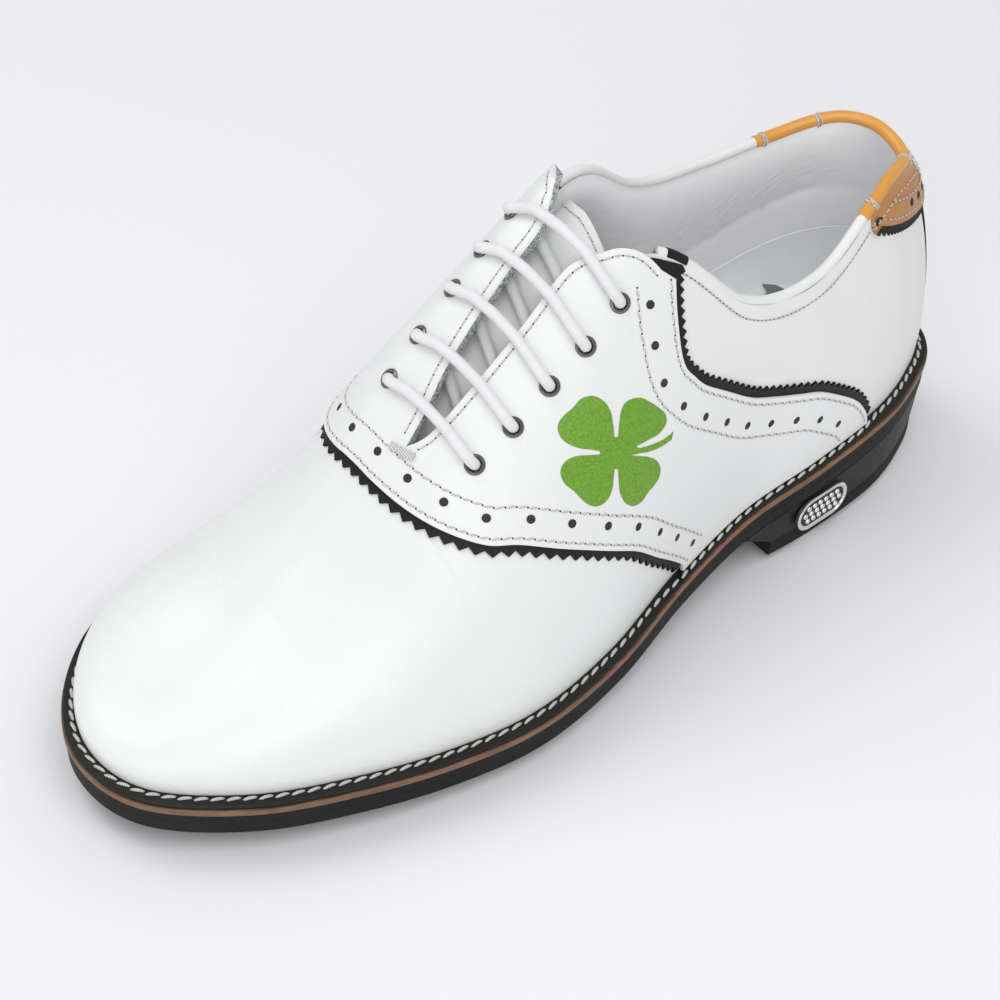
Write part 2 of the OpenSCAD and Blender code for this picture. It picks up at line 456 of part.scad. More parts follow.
// The lace: up through each outer eyelet, over to its partner, down, and slanting on to the next
lace_over = face + 2.15;
lace_under = -6;
function at(e, off) = over(e[0], e[1], off);
function toward(e, g) = let (n = over_out(e[0], e[1]), d = at(g, 0) - at(e, 0)) unit(d - (d * n) * n);
function lip(e, g) = [at(e, face + .4), at(e, face + 1.75) + .6 * toward(e, g), at(e, face + 2.55) + 2.4 * toward(e, g)];
function under(e, g) = [at(e, -3.9), at(e, -5.4) + .6 * toward(e, g), at(e, lace_under) + 2.4 * toward(e, g)];
function back_to_front(l) = [for (i = [len(l) - 1:-1:0]) l[i]];
function between(e, g, off, fs) = [for (f = fs) at(mixed(e, g, f), off)];
TAIL_START = [[7.5, .47], [7.2, .48], [6.9, .47], [6.6, .44]];
TAIL_END = [[7.95, -.15], [7.7, -.22], [7.4, -.25], [7.1, -.26]];
tip_len = 12;
LACE_PATH = concat(
    [for (a = TAIL_START) at(a, lace_under)],
    [for (k = [0:4]) let (l = EYELETS_LATERAL[k], m = EYELETS_MEDIAL[k],
        from = k == 0 ? TAIL_START[3] : EYELETS_MEDIAL[k - 1], to = k == 4 ? TAIL_END[0] : EYELETS_LATERAL[k + 1])
        each concat(back_to_front(under(l, from)), lip(l, m), between(l, m, lace_over, [.3, .5, .7]),
            back_to_front(lip(m, l)), under(m, to), k == 4 ? [] : between(m, to, lace_under, [.35, .65]))],
    [for (a = TAIL_END) at(a, lace_under)]);
module lace() color("white") tube(LACE_PATH, lace_d / 2);
module tip(a, b) tube([for (s = [.15, tip_len / 2, tip_len]) a + s * unit(a - b)], lace_d / 2 - .1);
module lace_tips() color("white") {
    tip(LACE_PATH[0], LACE_PATH[1]);
    tip(LACE_PATH[len(LACE_PATH) - 1], LACE_PATH[len(LACE_PATH) - 2]);
}

badge_p = 3.93;
badge_z = 14.5;
badge_r = 11;
module on_heel() {
    s = around(LAST, badge_p);
    d = around(LAST, badge_p + .05) - around(LAST, badge_p - .05);
    n = unit([-d.y, d.x]);
    translate([s.x + n.x * (welt_w - .9), s.y + n.y * (welt_w - .9), badge_z])
        rotate([0, 0, atan2(n.y, n.x)]) rotate([0, 90, 0]) children();
}
module badge_plate() color("silver") on_heel() translate([0, 0, .8]) hull() for (y = [-1, 1])
    translate([0, y * (badge_r - 6), 0]) cylinder(h = 1.2, r = 6, $fn = 48);
module pins(gap = 0) on_heel() for (y = [-5, 5]) translate([0, y, -4 - gap]) cylinder(h = 4.75 + gap, r = .8 + gap, $fn = 16);
module badge_pins() color("silver") pins();

outsole();
midsole();
welt();
welt_thread();
shank();
cork_filler();
insole_board();
foam_insole();
sock_liner();
heel_block();
heel_top_lift();
heel_nails();
cleat_receptacles();
cleat(0);  // cleat_1
cleat(1);  // cleat_2
cleat(2);  // cleat_3
cleat(3);  // cleat_4
cleat(4);  // cleat_5
cleat(5);  // cleat_6
cleat(6);  // cleat_7
cleat(7);  // cleat_8
badge_plate();
badge_pins();
vamp();
vamp_lining();
toe_puff();
saddle();
front_trim();
rear_trim_lateral();
rear_trim_medial();
quarter_lateral();
quarter_medial();
quarter_lining_lateral();
quarter_lining_medial();
heel_counter();
facing_stay_lateral();
facing_stay_medial();
backstay();
heel_patch();
heel_patch_trim();
heel_binding();
collar_binding_lateral();
collar_binding_medial();
tongue();
tongue_root();
bar_tack();
color("#3a3a3e") for (e = EYELETS_LATERAL) seat(e[0], e[1]) eyelet();  // eyelets_lateral
color("#3a3a3e") for (e = EYELETS_MEDIAL) seat(e[0], e[1]) eyelet();  // eyelets_medial
lace();
lace_tips();
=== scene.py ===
"""Saddle golf shoe, left foot: its visible surfaces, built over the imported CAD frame.

Lengths are in millimetres here, and every mesh is made in metres. +X is the toe, +Y the outer side, +Z up.
The last is a surface with two charts: p counts stations round the feather line and v climbs to the ridge;
t counts stations from heel to toe and w runs from -1 (inner feather) over 0 (the ridge) to 1 (outer feather).
"""

import math

import bpy
import numpy as np
from mathutils import Matrix
from mathutils.geometry import delaunay_2d_cdt


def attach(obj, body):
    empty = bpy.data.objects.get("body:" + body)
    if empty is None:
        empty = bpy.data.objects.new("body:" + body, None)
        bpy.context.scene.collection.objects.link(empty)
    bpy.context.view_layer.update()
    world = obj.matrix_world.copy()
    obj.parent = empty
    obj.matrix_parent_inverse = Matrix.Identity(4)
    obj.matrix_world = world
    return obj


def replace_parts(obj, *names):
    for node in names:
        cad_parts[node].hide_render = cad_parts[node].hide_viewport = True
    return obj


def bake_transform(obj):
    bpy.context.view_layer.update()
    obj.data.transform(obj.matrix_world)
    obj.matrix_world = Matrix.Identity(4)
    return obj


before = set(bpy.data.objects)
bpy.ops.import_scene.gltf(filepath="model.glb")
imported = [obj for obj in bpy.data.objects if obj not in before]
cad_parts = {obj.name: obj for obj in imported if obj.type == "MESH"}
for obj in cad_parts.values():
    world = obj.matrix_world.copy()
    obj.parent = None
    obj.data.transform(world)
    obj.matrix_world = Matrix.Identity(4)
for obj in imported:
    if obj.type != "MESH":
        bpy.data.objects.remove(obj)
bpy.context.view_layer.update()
MM = 0.001
rng = np.random.default_rng(11)

# ---------------------------------------------------------------- camera
EYE = np.array([330.0, 396.7, 518.7])
BACK = np.array([0.4553, 0.5702, 0.6838])
RIGHT = np.array([-0.7980, 0.6020, 0.0293])
LENS, SENSOR = 87.15, 36


def placed(x, y, z, place):
    """The matrix of something at a place, turned so that its axes lie along x, y and z."""
    return Matrix([[x[i], y[i], z[i], place[i]] for i in range(3)] + [[0, 0, 0, 1]])


def make_camera():
    back = BACK / np.linalg.norm(BACK)
    right = RIGHT - (RIGHT @ back) * back
    right /= np.linalg.norm(right)
    up = np.cross(back, right)
    data = bpy.data.cameras.new("camera")
    data.lens, data.sensor_width, data.clip_end = LENS, SENSOR, 20
    camera = bpy.data.objects.new("camera", data)
    bpy.context.scene.collection.objects.link(camera)
    camera.matrix_world = placed(right, up, back, EYE * MM)
    bpy.context.scene.camera = camera
    return right, up


view_right, view_up = make_camera()
bpy.context.scene.view_settings.view_transform = "Standard"

# ---------------------------------------------------------------- the last
TOE = 13
LAST = np.array([
    [-148, -5, 35.6, 3.2, .50, .41], [-144.4, 9.5, 35, 3.8, .43, .38],
    [-132.3, 18.7, 35, 3.4, .42, .38], [-112, 26.9, 34.8, 2.2, .45, .41],
    [-82, 31, 32.6, 2.4, .55, .49], [-52, 32, 28.7, 2.8, .59, .53],
    [-22, 38.3, 24.1, 2.6, .60, .49], [8, 47.4, 19, 2.2, .56, .44],
    [38, 52.3, 16.8, 2.1, .52, .45], [66, 50.2, 17.1, 2.4, .55, .49],
    [94, 43.8, 18.3, 2.5, .60, .53], [120.5, 33.5, 19.3, 2.5, .63, .56],
    [142.8, 16, 20.3, 2.9, .65, .58], [148.2, -5, 21.2, 3.6, .66, .60],
    [138.8, -26.4, 20.3, 3.9, .66, .60], [120, -43.4, 19.3, 3.8, .62, .56],
    [94, -51.6, 18.3, 3.2, .60, .52], [66, -51.2, 17.1, 2.4, .54, .44],
    [38, -45.2, 16.8, 2.6, .60, .48], [8, -37.2, 19, 3.2, .67, .55],
    [-22, -33.6, 24.1, 3.5, .70, .61], [-52, -34.8, 28.7, 2.9, .67, .61],
    [-82, -38.4, 32.6, 1.8, .62, .57], [-112, -37.6, 34.8, 1.4, .58, .54],
    [-132, -29.4, 35, 2.2, .59, .55], [-143.5, -18.2, 35, 3.4, .58, .50]], float)
RIDGE = np.array([
    [-112.7, -5.6, 139.6], [-80.6, -6.8, 145.8], [-50.6, -9, 147.4], [-20.7, -11.7, 139.8],
    [9.1, -12.5, 118.3], [38.8, -11.8, 93], [66.5, -9.1, 65.2], [94.3, -7.1, 47.3]])
RIDGE_FIRST, RIDGE_LAST = 3, 10
TOPLINE = np.array([.668, .435, .399, .451, .485, .490, .506, .518, .535, .520, .381, .400, .652])


def with_slopes(ridge):
    ahead = np.vstack([ridge[1:], ridge[-1:]])
    behind = np.vstack([ridge[:1], ridge[:-1]])
    return np.column_stack([ridge, (ahead[:, 2] - behind[:, 2]) / (ahead[:, 0] - behind[:, 0])])


RIDGE = with_slopes(RIDGE)


def unit(a):
    return a / np.maximum(np.linalg.norm(a, axis=-1, keepdims=True), 1e-12)


def cubic(a, b, c, d, f):
    return b + 0.5 * f * (c - a + f * (2 * a - 5 * b + 4 * c - d + f * (3 * (b - c) + d - a)))


def around(tab, x):
    """Smooth reading of a closed table."""
    x = np.asarray(x, float)
    n, i = len(tab), np.floor(x).astype(int)
    return cubic(tab[(i - 1) % n], tab[i % n], tab[(i + 1) % n], tab[(i + 2) % n], (x - i)[..., None])


def along(tab, x):
    """Smooth reading of an open table."""
    m = len(tab) - 1
    y = np.clip(np.asarray(x, float), 0, m)
    i = np.minimum(np.floor(y).astype(int), m - 1)
    return cubic(tab[np.maximum(i - 1, 0)], tab[i], tab[i + 1], tab[np.minimum(i + 2, m)], (y - i)[..., None])


def station(p):
    q = np.mod(p, 2 * TOE)
    return np.minimum(q, 2 * TOE - q)


def ridge_at(p):
    return along(RIDGE, np.clip(station(p), RIDGE_FIRST, RIDGE_LAST) - RIDGE_FIRST)


def topline(p):
    return along(TOPLINE[:, None], np.asarray(p, float) + 6)[..., 0]


def last(p, v):
    p, v = np.broadcast_arrays(np.asarray(p, float), np.asarray(v, float))
    s, k = around(LAST, p), ridge_at(p)
    d = s[..., :2] - k[..., :2]
    r = np.linalg.norm(d, axis=-1, keepdims=True)
    u = d / r
    low, top = s[..., :3], k[..., :3]
    side = low + np.concatenate([u * s[..., 3:4], s[..., 4:5] * (k[..., 2:3] - s[..., 2:3])], -1)
    crown = top + s[..., 5:6] * r * np.concatenate([u, u[..., :1] * k[..., 3:4]], -1)
    v = v[..., None]
    w = 1 - v
    return w ** 3 * low + 3 * w * w * v * side + 3 * w * v * v * crown + v ** 3 * top


def outward(p, v):
    """Normals, which turn to the ridge line's own near the ridge, where the chart closes up."""
    p, v = np.broadcast_arrays(np.asarray(p, float), np.asarray(v, float))
    q = np.minimum(v, .96)
    n = unit(-np.cross(last(p + .03, q) - last(p - .03, q), last(p, q + .01) - last(p, q - .01)))
    k = ridge_at(p)
    top = unit(np.stack([-k[..., 3], np.zeros_like(v), np.ones_like(v)], -1))
    f = np.clip((v - .90) / .07, 0, 1)[..., None]
    f = f * f * (3 - 2 * f)
    return unit(n * (1 - f) + top * f)


def skin(p, v, off=0.0):
    return last(p, v) + np.asarray(off)[..., None] * outward(p, v)


def to_pv(t, w):
    t, w = np.broadcast_arrays(np.asarray(t, float), np.asarray(w, float))
    return np.where(w >= 0, t, 2 * TOE - t), 1 - np.abs(w)


def over(c, off=0.0):
    p, v = to_pv(c[..., 0], c[..., 1])
    return skin(p, v, off)


def over_out(c):
    return outward(*to_pv(c[..., 0], c[..., 1]))


def rim(p, off):
    """A point off the feather line by off, seen from above, with the feather's height."""
    s, d = around(LAST, p), around(LAST, np.asarray(p) + .05) - around(LAST, np.asarray(p) - .05)
    n = unit(np.stack([-d[..., 1], d[..., 0]], -1))
    return np.concatenate([s[..., :2] + np.asarray(off)[..., None] * n, s[..., 2:3]], -1)


def chart_move(c, step):
    """Chart points moved by 3-D steps along the surface."""
    e = .01
    st = (over(c + [e, 0]) - over(c - [e, 0])) / (2 * e)
    sw = (over(c + [0, e]) - over(c - [0, e])) / (2 * e)
    a, b, d = (st * st).sum(-1), (st * sw).sum(-1), (sw * sw).sum(-1)
    h, k = (step * st).sum(-1), (step * sw).sum(-1)
    det = a * d - b * b
    return c + np.stack([(h * d - k * b) / det, (k * a - h * b) / det], -1)


def edge_frame(c):
    """The directions to the left of a row of chart points, and the normals."""
    n = over_out(c)
    return unit(np.cross(n, unit(np.gradient(over(c), axis=0)))), n


def beside(c, d):
    """The row of chart points moved d to its left."""
    return chart_move(c, edge_frame(c)[0] * np.asarray(d)[..., None])


def run_of(x):
    """How far along a line of points each one is."""
    return np.concatenate([[0], np.cumsum(np.linalg.norm(np.diff(x, axis=0), axis=1))])


def read_at(at, s, x):
    """The rows x, which lie at the runs s, read at other runs."""
    return np.column_stack([np.interp(at, s, x[:, i]) for i in range(x.shape[1])])


def walk(tab, pitch):
    """Chart points every pitch millimetres along an edge through listed points."""
    c = along(tab, np.linspace(0, len(tab) - 1, 40 * len(tab)))
    return resample(c, pitch, over(c))


def resample(x, pitch, line=None):
    """The rows x again, pitch apart along themselves or along the line that goes with them."""
    s = run_of(x if line is None else line)
    return read_at(np.linspace(0, s[-1], max(int(round(s[-1] / pitch)), 2) + 1), s, x)


# ---------------------------------------------------------------- materials
def new_material(name, colour, rough, **sockets):
    mat = bpy.data.materials.new(name)
    mat.use_nodes = True
    bsdf = mat.node_tree.nodes["Principled BSDF"]
    bsdf.inputs["Base Color"].default_value = (*colour, 1)
    bsdf.inputs["Roughness"].default_value = rough
    for key, value in sockets.items():
        bsdf.inputs[key.replace("_", " ")].default_value = value
    return mat, bsdf


def add(mat, kind, out=0, **inputs):
    """A node with its settings (small first letter) and its inputs set or linked; gives the socket out."""
    node = mat.node_tree.nodes.new("ShaderNode" + kind)
    for key, value in inputs.items():
        if key[0].islower():
            setattr(node, key, value)
            continue
        numbered = key[0] == "I" and key[1:].isdigit()
        sock = node.inputs[int(key[1:]) if numbered else key.replace("_", " ")]
        if isinstance(value, bpy.types.NodeSocket):
            mat.node_tree.links.new(value, sock)
        else:
            sock.default_value = value
    return node.outputs[out]


def surface(*args, **sockets):
    """A new material with its coordinates over the object."""
    mat, bsdf = new_material(*args, **sockets)
    return mat, bsdf, add(mat, "TexCoord", out=3)


def link(mat, a, b):
    mat.node_tree.links.new(a, b)


def tint(mat, bsdf, factor, dark, light):
    ramp = mat.node_tree.nodes.new("ShaderNodeValToRGB")
    ramp.color_ramp.elements[0].color = (*dark, 1)
    ramp.color_ramp.elements[1].color = (*light, 1)
    ramp.color_ramp.elements[0].position, ramp.color_ramp.elements[1].position = .3, .7
    link(mat, factor, ramp.inputs[0])
    link(mat, ramp.outputs[0], bsdf.inputs["Base Color"])


def ranged(mat, value, low, high):
    return add(mat, "MapRange", Value=value, To_Min=low, To_Max=high)


def shine(mat, bsdf, value, low, high):
    link(mat, ranged(mat, value, low, high), bsdf.inputs["Roughness"])


def bump(mat, bsdf, height, strength, distance):
    link(mat, add(mat, "Bump", Height=height, Strength=strength, Distance=distance), bsdf.inputs["Normal"])


def leather(name, light, dark, rough, pore=1500, grain=420, depth=.12, creases=0.0, coat=0.0, gloss=.5):
    mat, bsdf, at = surface(name, light, rough, Coat_Weight=coat, Coat_Roughness=.25, Specular_IOR_Level=gloss)
    tone = add(mat, "TexNoise", Vector=at, Scale=22, Detail=3)
    fine = add(mat, "TexNoise", Vector=at, Scale=pore, Detail=4)
    cells = add(mat, "TexVoronoi", Vector=at, Scale=grain)
    tint(mat, bsdf, tone, dark, light)
    shine(mat, bsdf, fine, rough - .07, rough + .08)
    height = add(mat, "Math", operation="MULTIPLY_ADD", I0=fine, I1=.6, I2=cells)
    if creases:
        fold = add(mat, "TexNoise", Vector=at, Scale=95, Detail=5, Distortion=1.6)
        height = add(mat, "Math", operation="MULTIPLY_ADD", I0=fold, I1=creases, I2=height)
    bump(mat, bsdf, height, depth, .0003)
    return mat


def thread(name, light, dark):
    mat, bsdf, at = surface(name, light, .6, Sheen_Weight=.3)
    twist_and_shade = add(mat, "TexWave", Vector=at, Scale=700, Distortion=2, Detail=2)
    # the darker bands of the twist, where the strands dip, are painted shade
    tint(mat, bsdf, twist_and_shade, dark, light)
    bump(mat, bsdf, twist_and_shade, .5, .0002)
    return mat


def rubber(name, light, dark, rough, scale=900, depth=.35):
    mat, bsdf, at = surface(name, light, rough, Specular_IOR_Level=.25)
    speck = add(mat, "TexNoise", Vector=at, Scale=scale, Detail=5)
    wide = add(mat, "TexNoise", Vector=at, Scale=60, Detail=2)
    tint(mat, bsdf, wide, dark, light)
    shine(mat, bsdf, speck, rough - .12, rough + .12)
    bump(mat, bsdf, speck, depth, .0003)
    return mat


def layered(name, light, dark, rough):
    """The edge of a stacked-leather midsole: fine layers along the edge."""
    mat, bsdf, at = surface(name, light, rough)
    flat = add(mat, "Mapping", Vector=at, Scale=(60, 60, 2600))
    layers = add(mat, "TexNoise", Vector=flat, Scale=1, Detail=4)
    wide = add(mat, "TexNoise", Vector=at, Scale=260, Detail=4)
    both = add(mat, "Math", operation="MULTIPLY_ADD", I0=wide, I1=.5, I2=layers)
    tint(mat, bsdf, ranged(mat, both, -.2, .8), dark, light)
    bump(mat, bsdf, both, .4, .0003)
    return mat


def metal(name, colour, rough):
    mat, bsdf, at = surface(name, colour, rough, Metallic=1.0)
    fine = add(mat, "TexNoise", Vector=at, Scale=1400, Detail=3)
    shine(mat, bsdf, fine, rough - .06, rough + .1)
    bump(mat, bsdf, fine, .05, .0001)
    return mat


def braid(name):
    """A round woven lace: u runs round it and v along it, in units of one strand."""
    mat, bsdf = new_material(name, (.86, .86, .87), .75, Sheen_Weight=.4)
    uv = add(mat, "UVMap")
    a = add(mat, "Mapping", Vector=uv, Rotation=(0, 0, math.radians(38)))
    b = add(mat, "Mapping", Vector=uv, Rotation=(0, 0, math.radians(-38)))
    one = add(mat, "TexWave", Vector=a, Scale=.9)
    two = add(mat, "TexWave", Vector=b, Scale=.9)
    weave_and_shade = add(mat, "Math", operation="MAXIMUM", I0=one, I1=two)
    # the weave's darker parts, where strands pass under others, are painted shade
    tint(mat, bsdf, weave_and_shade, (.70, .70, .73), (.88, .88, .88))
    bump(mat, bsdf, weave_and_shade, .35, .0004)
    return mat


def glitter(name):
    mat, bsdf, at = surface(name, (.35, .36, .37), .5, Metallic=.3)
    cells = add(mat, "TexVoronoi", out=1, Vector=at, Scale=2600)
    value = add(mat, "SeparateColor", I0=cells)
    tint(mat, bsdf, value, (.22, .23, .24), (.74, .76, .77))
    bump(mat, bsdf, value, .4, .0003)
    return mat


def print_green(name):
    mat, bsdf, at = surface(name, (.17, .36, .04), .55)
    speck = add(mat, "TexNoise", Vector=at, Scale=1700, Detail=4)
    tint(mat, bsdf, speck, (.105, .265, .014), (.20, .41, .028))
    bump(mat, bsdf, speck, .2, .0002)
    return mat


WHITE = leather("white_leather", (.835, .84, .835), (.80, .805, .80), .36, pore=1700, grain=900, depth=.18,
                coat=.12)
QUARTER = leather("white_quarter", (.84, .84, .835), (.80, .80, .79), .42, pore=1300, grain=700, depth=.16,
                  creases=.5)
# the lining is white leather; its colour is set lighter than the outer leather's as painted light inside the shoe
LINING = leather("white_lining", (.93, .93, .935), (.87, .87, .88), .6, pore=1100, grain=300, depth=.3,
                 creases=1.2)
SOCK = leather("sock_leather", (.92, .93, .94), (.84, .85, .87), .55, pore=700, grain=260, depth=.45)
BLACK = leather("black_leather", (.016, .0155, .015), (.009, .009, .009), .55, pore=1600, grain=700, depth=.3,
                gloss=.25)
TAN_EDGE = leather("tan_binding", (.80, .38, .065), (.66, .28, .04), .36, pore=900, grain=240, depth=.22, coat=.3)
TAN = leather("tan_patch", (.56, .27, .09), (.45, .20, .06), .42, pore=1300, grain=500, depth=.2)
WELT = leather("welt_black", (.011, .010, .009), (.006, .006, .006), .42, pore=1800, grain=800, depth=.3, gloss=.3)
MIDSOLE = layered("midsole_edge", (.25, .13, .072), (.10, .052, .03), .5)
OUTSOLE = rubber("outsole_rubber", (.013, .0125, .012), (.007, .007, .007), .66)
HEEL = rubber("heel_rubber", (.011, .011, .011), (.006, .006, .006), .5, scale=500, depth=.2)
# the white thread is coloured grey, darker than the white leather, as painted shade along the stitches
THREAD = thread("white_thread", (.74, .74, .73), (.40, .40, .40))
WELT_THREAD = thread("welt_thread", (.80, .79, .74), (.34, .32, .27))
# dark colour for the flat discs and rings set in needle holes, punched holes and sunk fields: painted shade of those
# recesses
RECESS_SHADE = leather("needle_holes", (.04, .038, .037), (.02, .02, .02), .8)
GUNMETAL = metal("gunmetal", (.20, .185, .18), .24)
CHROME = metal("chrome", (.82, .82, .83), .12)
STEEL = metal("steel", (.55, .55, .57), .35)
LACE = braid("lace_cord")
EDGE = glitter("facing_edge")
CLOVER = print_green("clover_print")
CLEAT = rubber("cleat_plastic", (.84, .84, .82), (.78, .78, .76), .35, scale=300, depth=.08)
BOARD = rubber("fibre_board", (.55, .40, .26), (.44, .31, .19), .85)
MOTIF = rubber("sock_print", (.22, .23, .24), (.16, .165, .17), .5)


# ---------------------------------------------------------------- mesh makers
def make(name, points, faces, mat, slot, body="shoe", normals=None, uv=None, crisp=None):
    mesh = bpy.data.meshes.new(name)
    mesh.from_pydata((np.asarray(points) * MM).tolist(), [], faces)
    mesh.polygons.foreach_set("use_smooth", [True] * len(mesh.polygons))
    if uv is not None:
        index = np.empty(len(mesh.loops), int)
        mesh.loops.foreach_get("vertex_index", index)
        mesh.uv_layers.new(name="run").data.foreach_set("uv", np.asarray(uv)[index].ravel())
    if crisp is not None:
        mesh.set_sharp_from_angle(angle=math.radians(crisp))
    if normals is not None:
        mesh.normals_split_custom_set_from_vertices(np.asarray(normals).tolist())
    mesh.materials.append(mat)
    obj = bpy.data.objects.new(name, mesh)
    bpy.context.scene.collection.objects.link(obj)
    if body:
        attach(obj, body)
    return obj


def grid_faces(n, m, wrap_n=False, wrap_m=False, first=0):
    out = []
    for i in range(n if wrap_n else n - 1):
        a, b = first + i * m, first + ((i + 1) % n) * m
        for j in range(m if wrap_m else m - 1):
            k = (j + 1) % m
            out.append((a + j, b + j, b + k, a + k))
    return out


def sheet(name, pts, mat, slot, **more):
    """A surface through a grid of points."""
    return make(name, pts.reshape(-1, 3), grid_faces(*pts.shape[:2]), mat, slot, **more)


def panel(name, ps, low, high, rows, off, mat, slot, inward=False, swell=None):
    """A sheet between two heights on the last. swell(p, v) adds to its offset."""
    ps = np.asarray(ps, float)[:, None]
    v = np.asarray(low)[:, None] + (np.asarray(high) - np.asarray(low))[:, None] * np.linspace(0, 1, rows + 1)
    p = np.broadcast_to(ps, v.shape)
    offs = off + (swell(p, v) if swell else 0 * v)
    pts, nrm = skin(p, v, offs), outward(p, v)
    if swell:
        nrm = unit(-np.cross(np.gradient(pts, axis=0), np.gradient(pts, axis=1)))
    if inward:
        nrm = -nrm
    faces = grid_faces(*v.shape)
    if not inward:
        faces = [f[::-1] for f in faces]
    return make(name, pts.reshape(-1, 3), faces, mat, slot, normals=nrm.reshape(-1, 3))


def inside(poly, q):
    """Which points q lie inside the closed polygon."""
    a, b = poly, np.roll(poly, -1, 0)
    x, y = q[:, :1], q[:, 1:]
    crosses = (a[:, 1] > y) != (b[:, 1] > y)
    with np.errstate(divide="ignore", invalid="ignore"):
        at = (b[:, 0] - a[:, 0]) * (y - a[:, 1]) / (b[:, 1] - a[:, 1]) + a[:, 0]
    return (crosses & (x < at)).sum(1) % 2 == 1


SPREAD = np.array([29.5, 105.0])


def cut_piece(name, loop, holes, off, thick, mat, bevel=.4, step=3.0):
    """A white leather piece cut to a loop of chart points (anticlockwise from outside), with round-edged holes."""
    def ring(c, sign):
        x = over(c)
        ahead = unit(np.roll(x, -1, 0) - np.roll(x, 1, 0))
        n = over_out(c)
        side = unit(np.cross(ahead, n)) * sign
        inner = chart_move(c, -side * bevel)
        shoulder = chart_move(c, -side * bevel * .3)
        rows = [(over(inner) + off * n, n), (over(shoulder) + (off - .09) * n, unit(n + .4 * side)),
                (x + (off - .28) * n, unit(.6 * n + side)), (x + (off - thick) * n, side)]
        return inner, np.concatenate([r[0] for r in rows]), np.concatenate([r[1] for r in rows])

    pts, nrm, faces, loops2d = [], [], [], []
    for c, sign in [(loop, 1)] + [(h, -1) for h in holes]:
        inner, x, n = ring(c, sign)
        edge = grid_faces(4, len(c), wrap_m=True, first=sum(len(a) for a in pts))
        faces += edge if sign > 0 else [f[::-1] for f in edge]
        pts.append(x)
        nrm.append(n)
        loops2d.append(inner * SPREAD)
    outer, inner_loops = loops2d[0], loops2d[1:]
    lo, hi = outer.min(0), outer.max(0)
    gx, gy = np.meshgrid(np.arange(lo[0], hi[0], step), np.arange(lo[1], hi[1], step))
    gx = gx + (np.arange(gx.shape[0]) % 2)[:, None] * step / 2
    q = np.column_stack([gx.ravel(), gy.ravel()])
    q = q[inside(outer, q)]
    for h in inner_loops:
        reach = np.linalg.norm(h - h.mean(0), axis=1).max() + step * .35
        q = q[np.linalg.norm(q - h.mean(0), axis=1) > reach]
    rim_pts = np.concatenate(loops2d)
    near = np.array([np.min(np.linalg.norm(rim_pts - a, axis=1)) for a in q]) if len(q) else np.zeros(0)
    verts = np.concatenate([rim_pts, q[near > step * .4]])
    edges, first = [], 0
    for c in loops2d:
        edges += [(first + j, first + (j + 1) % len(c)) for j in range(len(c))]
        first += len(c)
    got = delaunay_2d_cdt([tuple(a) for a in verts], edges, [], 0, 1e-6)
    flat, tris = np.array([tuple(a) for a in got[0]]), np.array([f for f in got[2] if len(f) == 3])
    mid = flat[tris].mean(1)
    keep = inside(outer, mid)
    for h in inner_loops:
        keep &= ~inside(h, mid)
    chart = flat / SPREAD
    base, n = sum(len(a) for a in pts), over_out(chart)
    pts.append(over(chart) + off * n)
    nrm.append(n)
    faces += [tuple(int(i) + base for i in f) for f in tris[keep]]
    return make(name, np.concatenate(pts), faces, mat, "white_leather", normals=np.concatenate(nrm))


def disc_loop(centre, r, n=14):
    """A circle of radius r on the surface round a chart point, anticlockwise."""
    c = np.repeat(np.asarray(centre, float)[None], n, 0)
    nrm = over_out(c[:1])[0]
    e1 = unit(np.cross(nrm, [0.0, 0.3, 1.0]))
    e2 = np.cross(nrm, e1)
    a = np.linspace(0, 2 * math.pi, n, endpoint=False)[:, None]
    return chart_move(c, r * (np.cos(a) * e1 + np.sin(a) * e2))


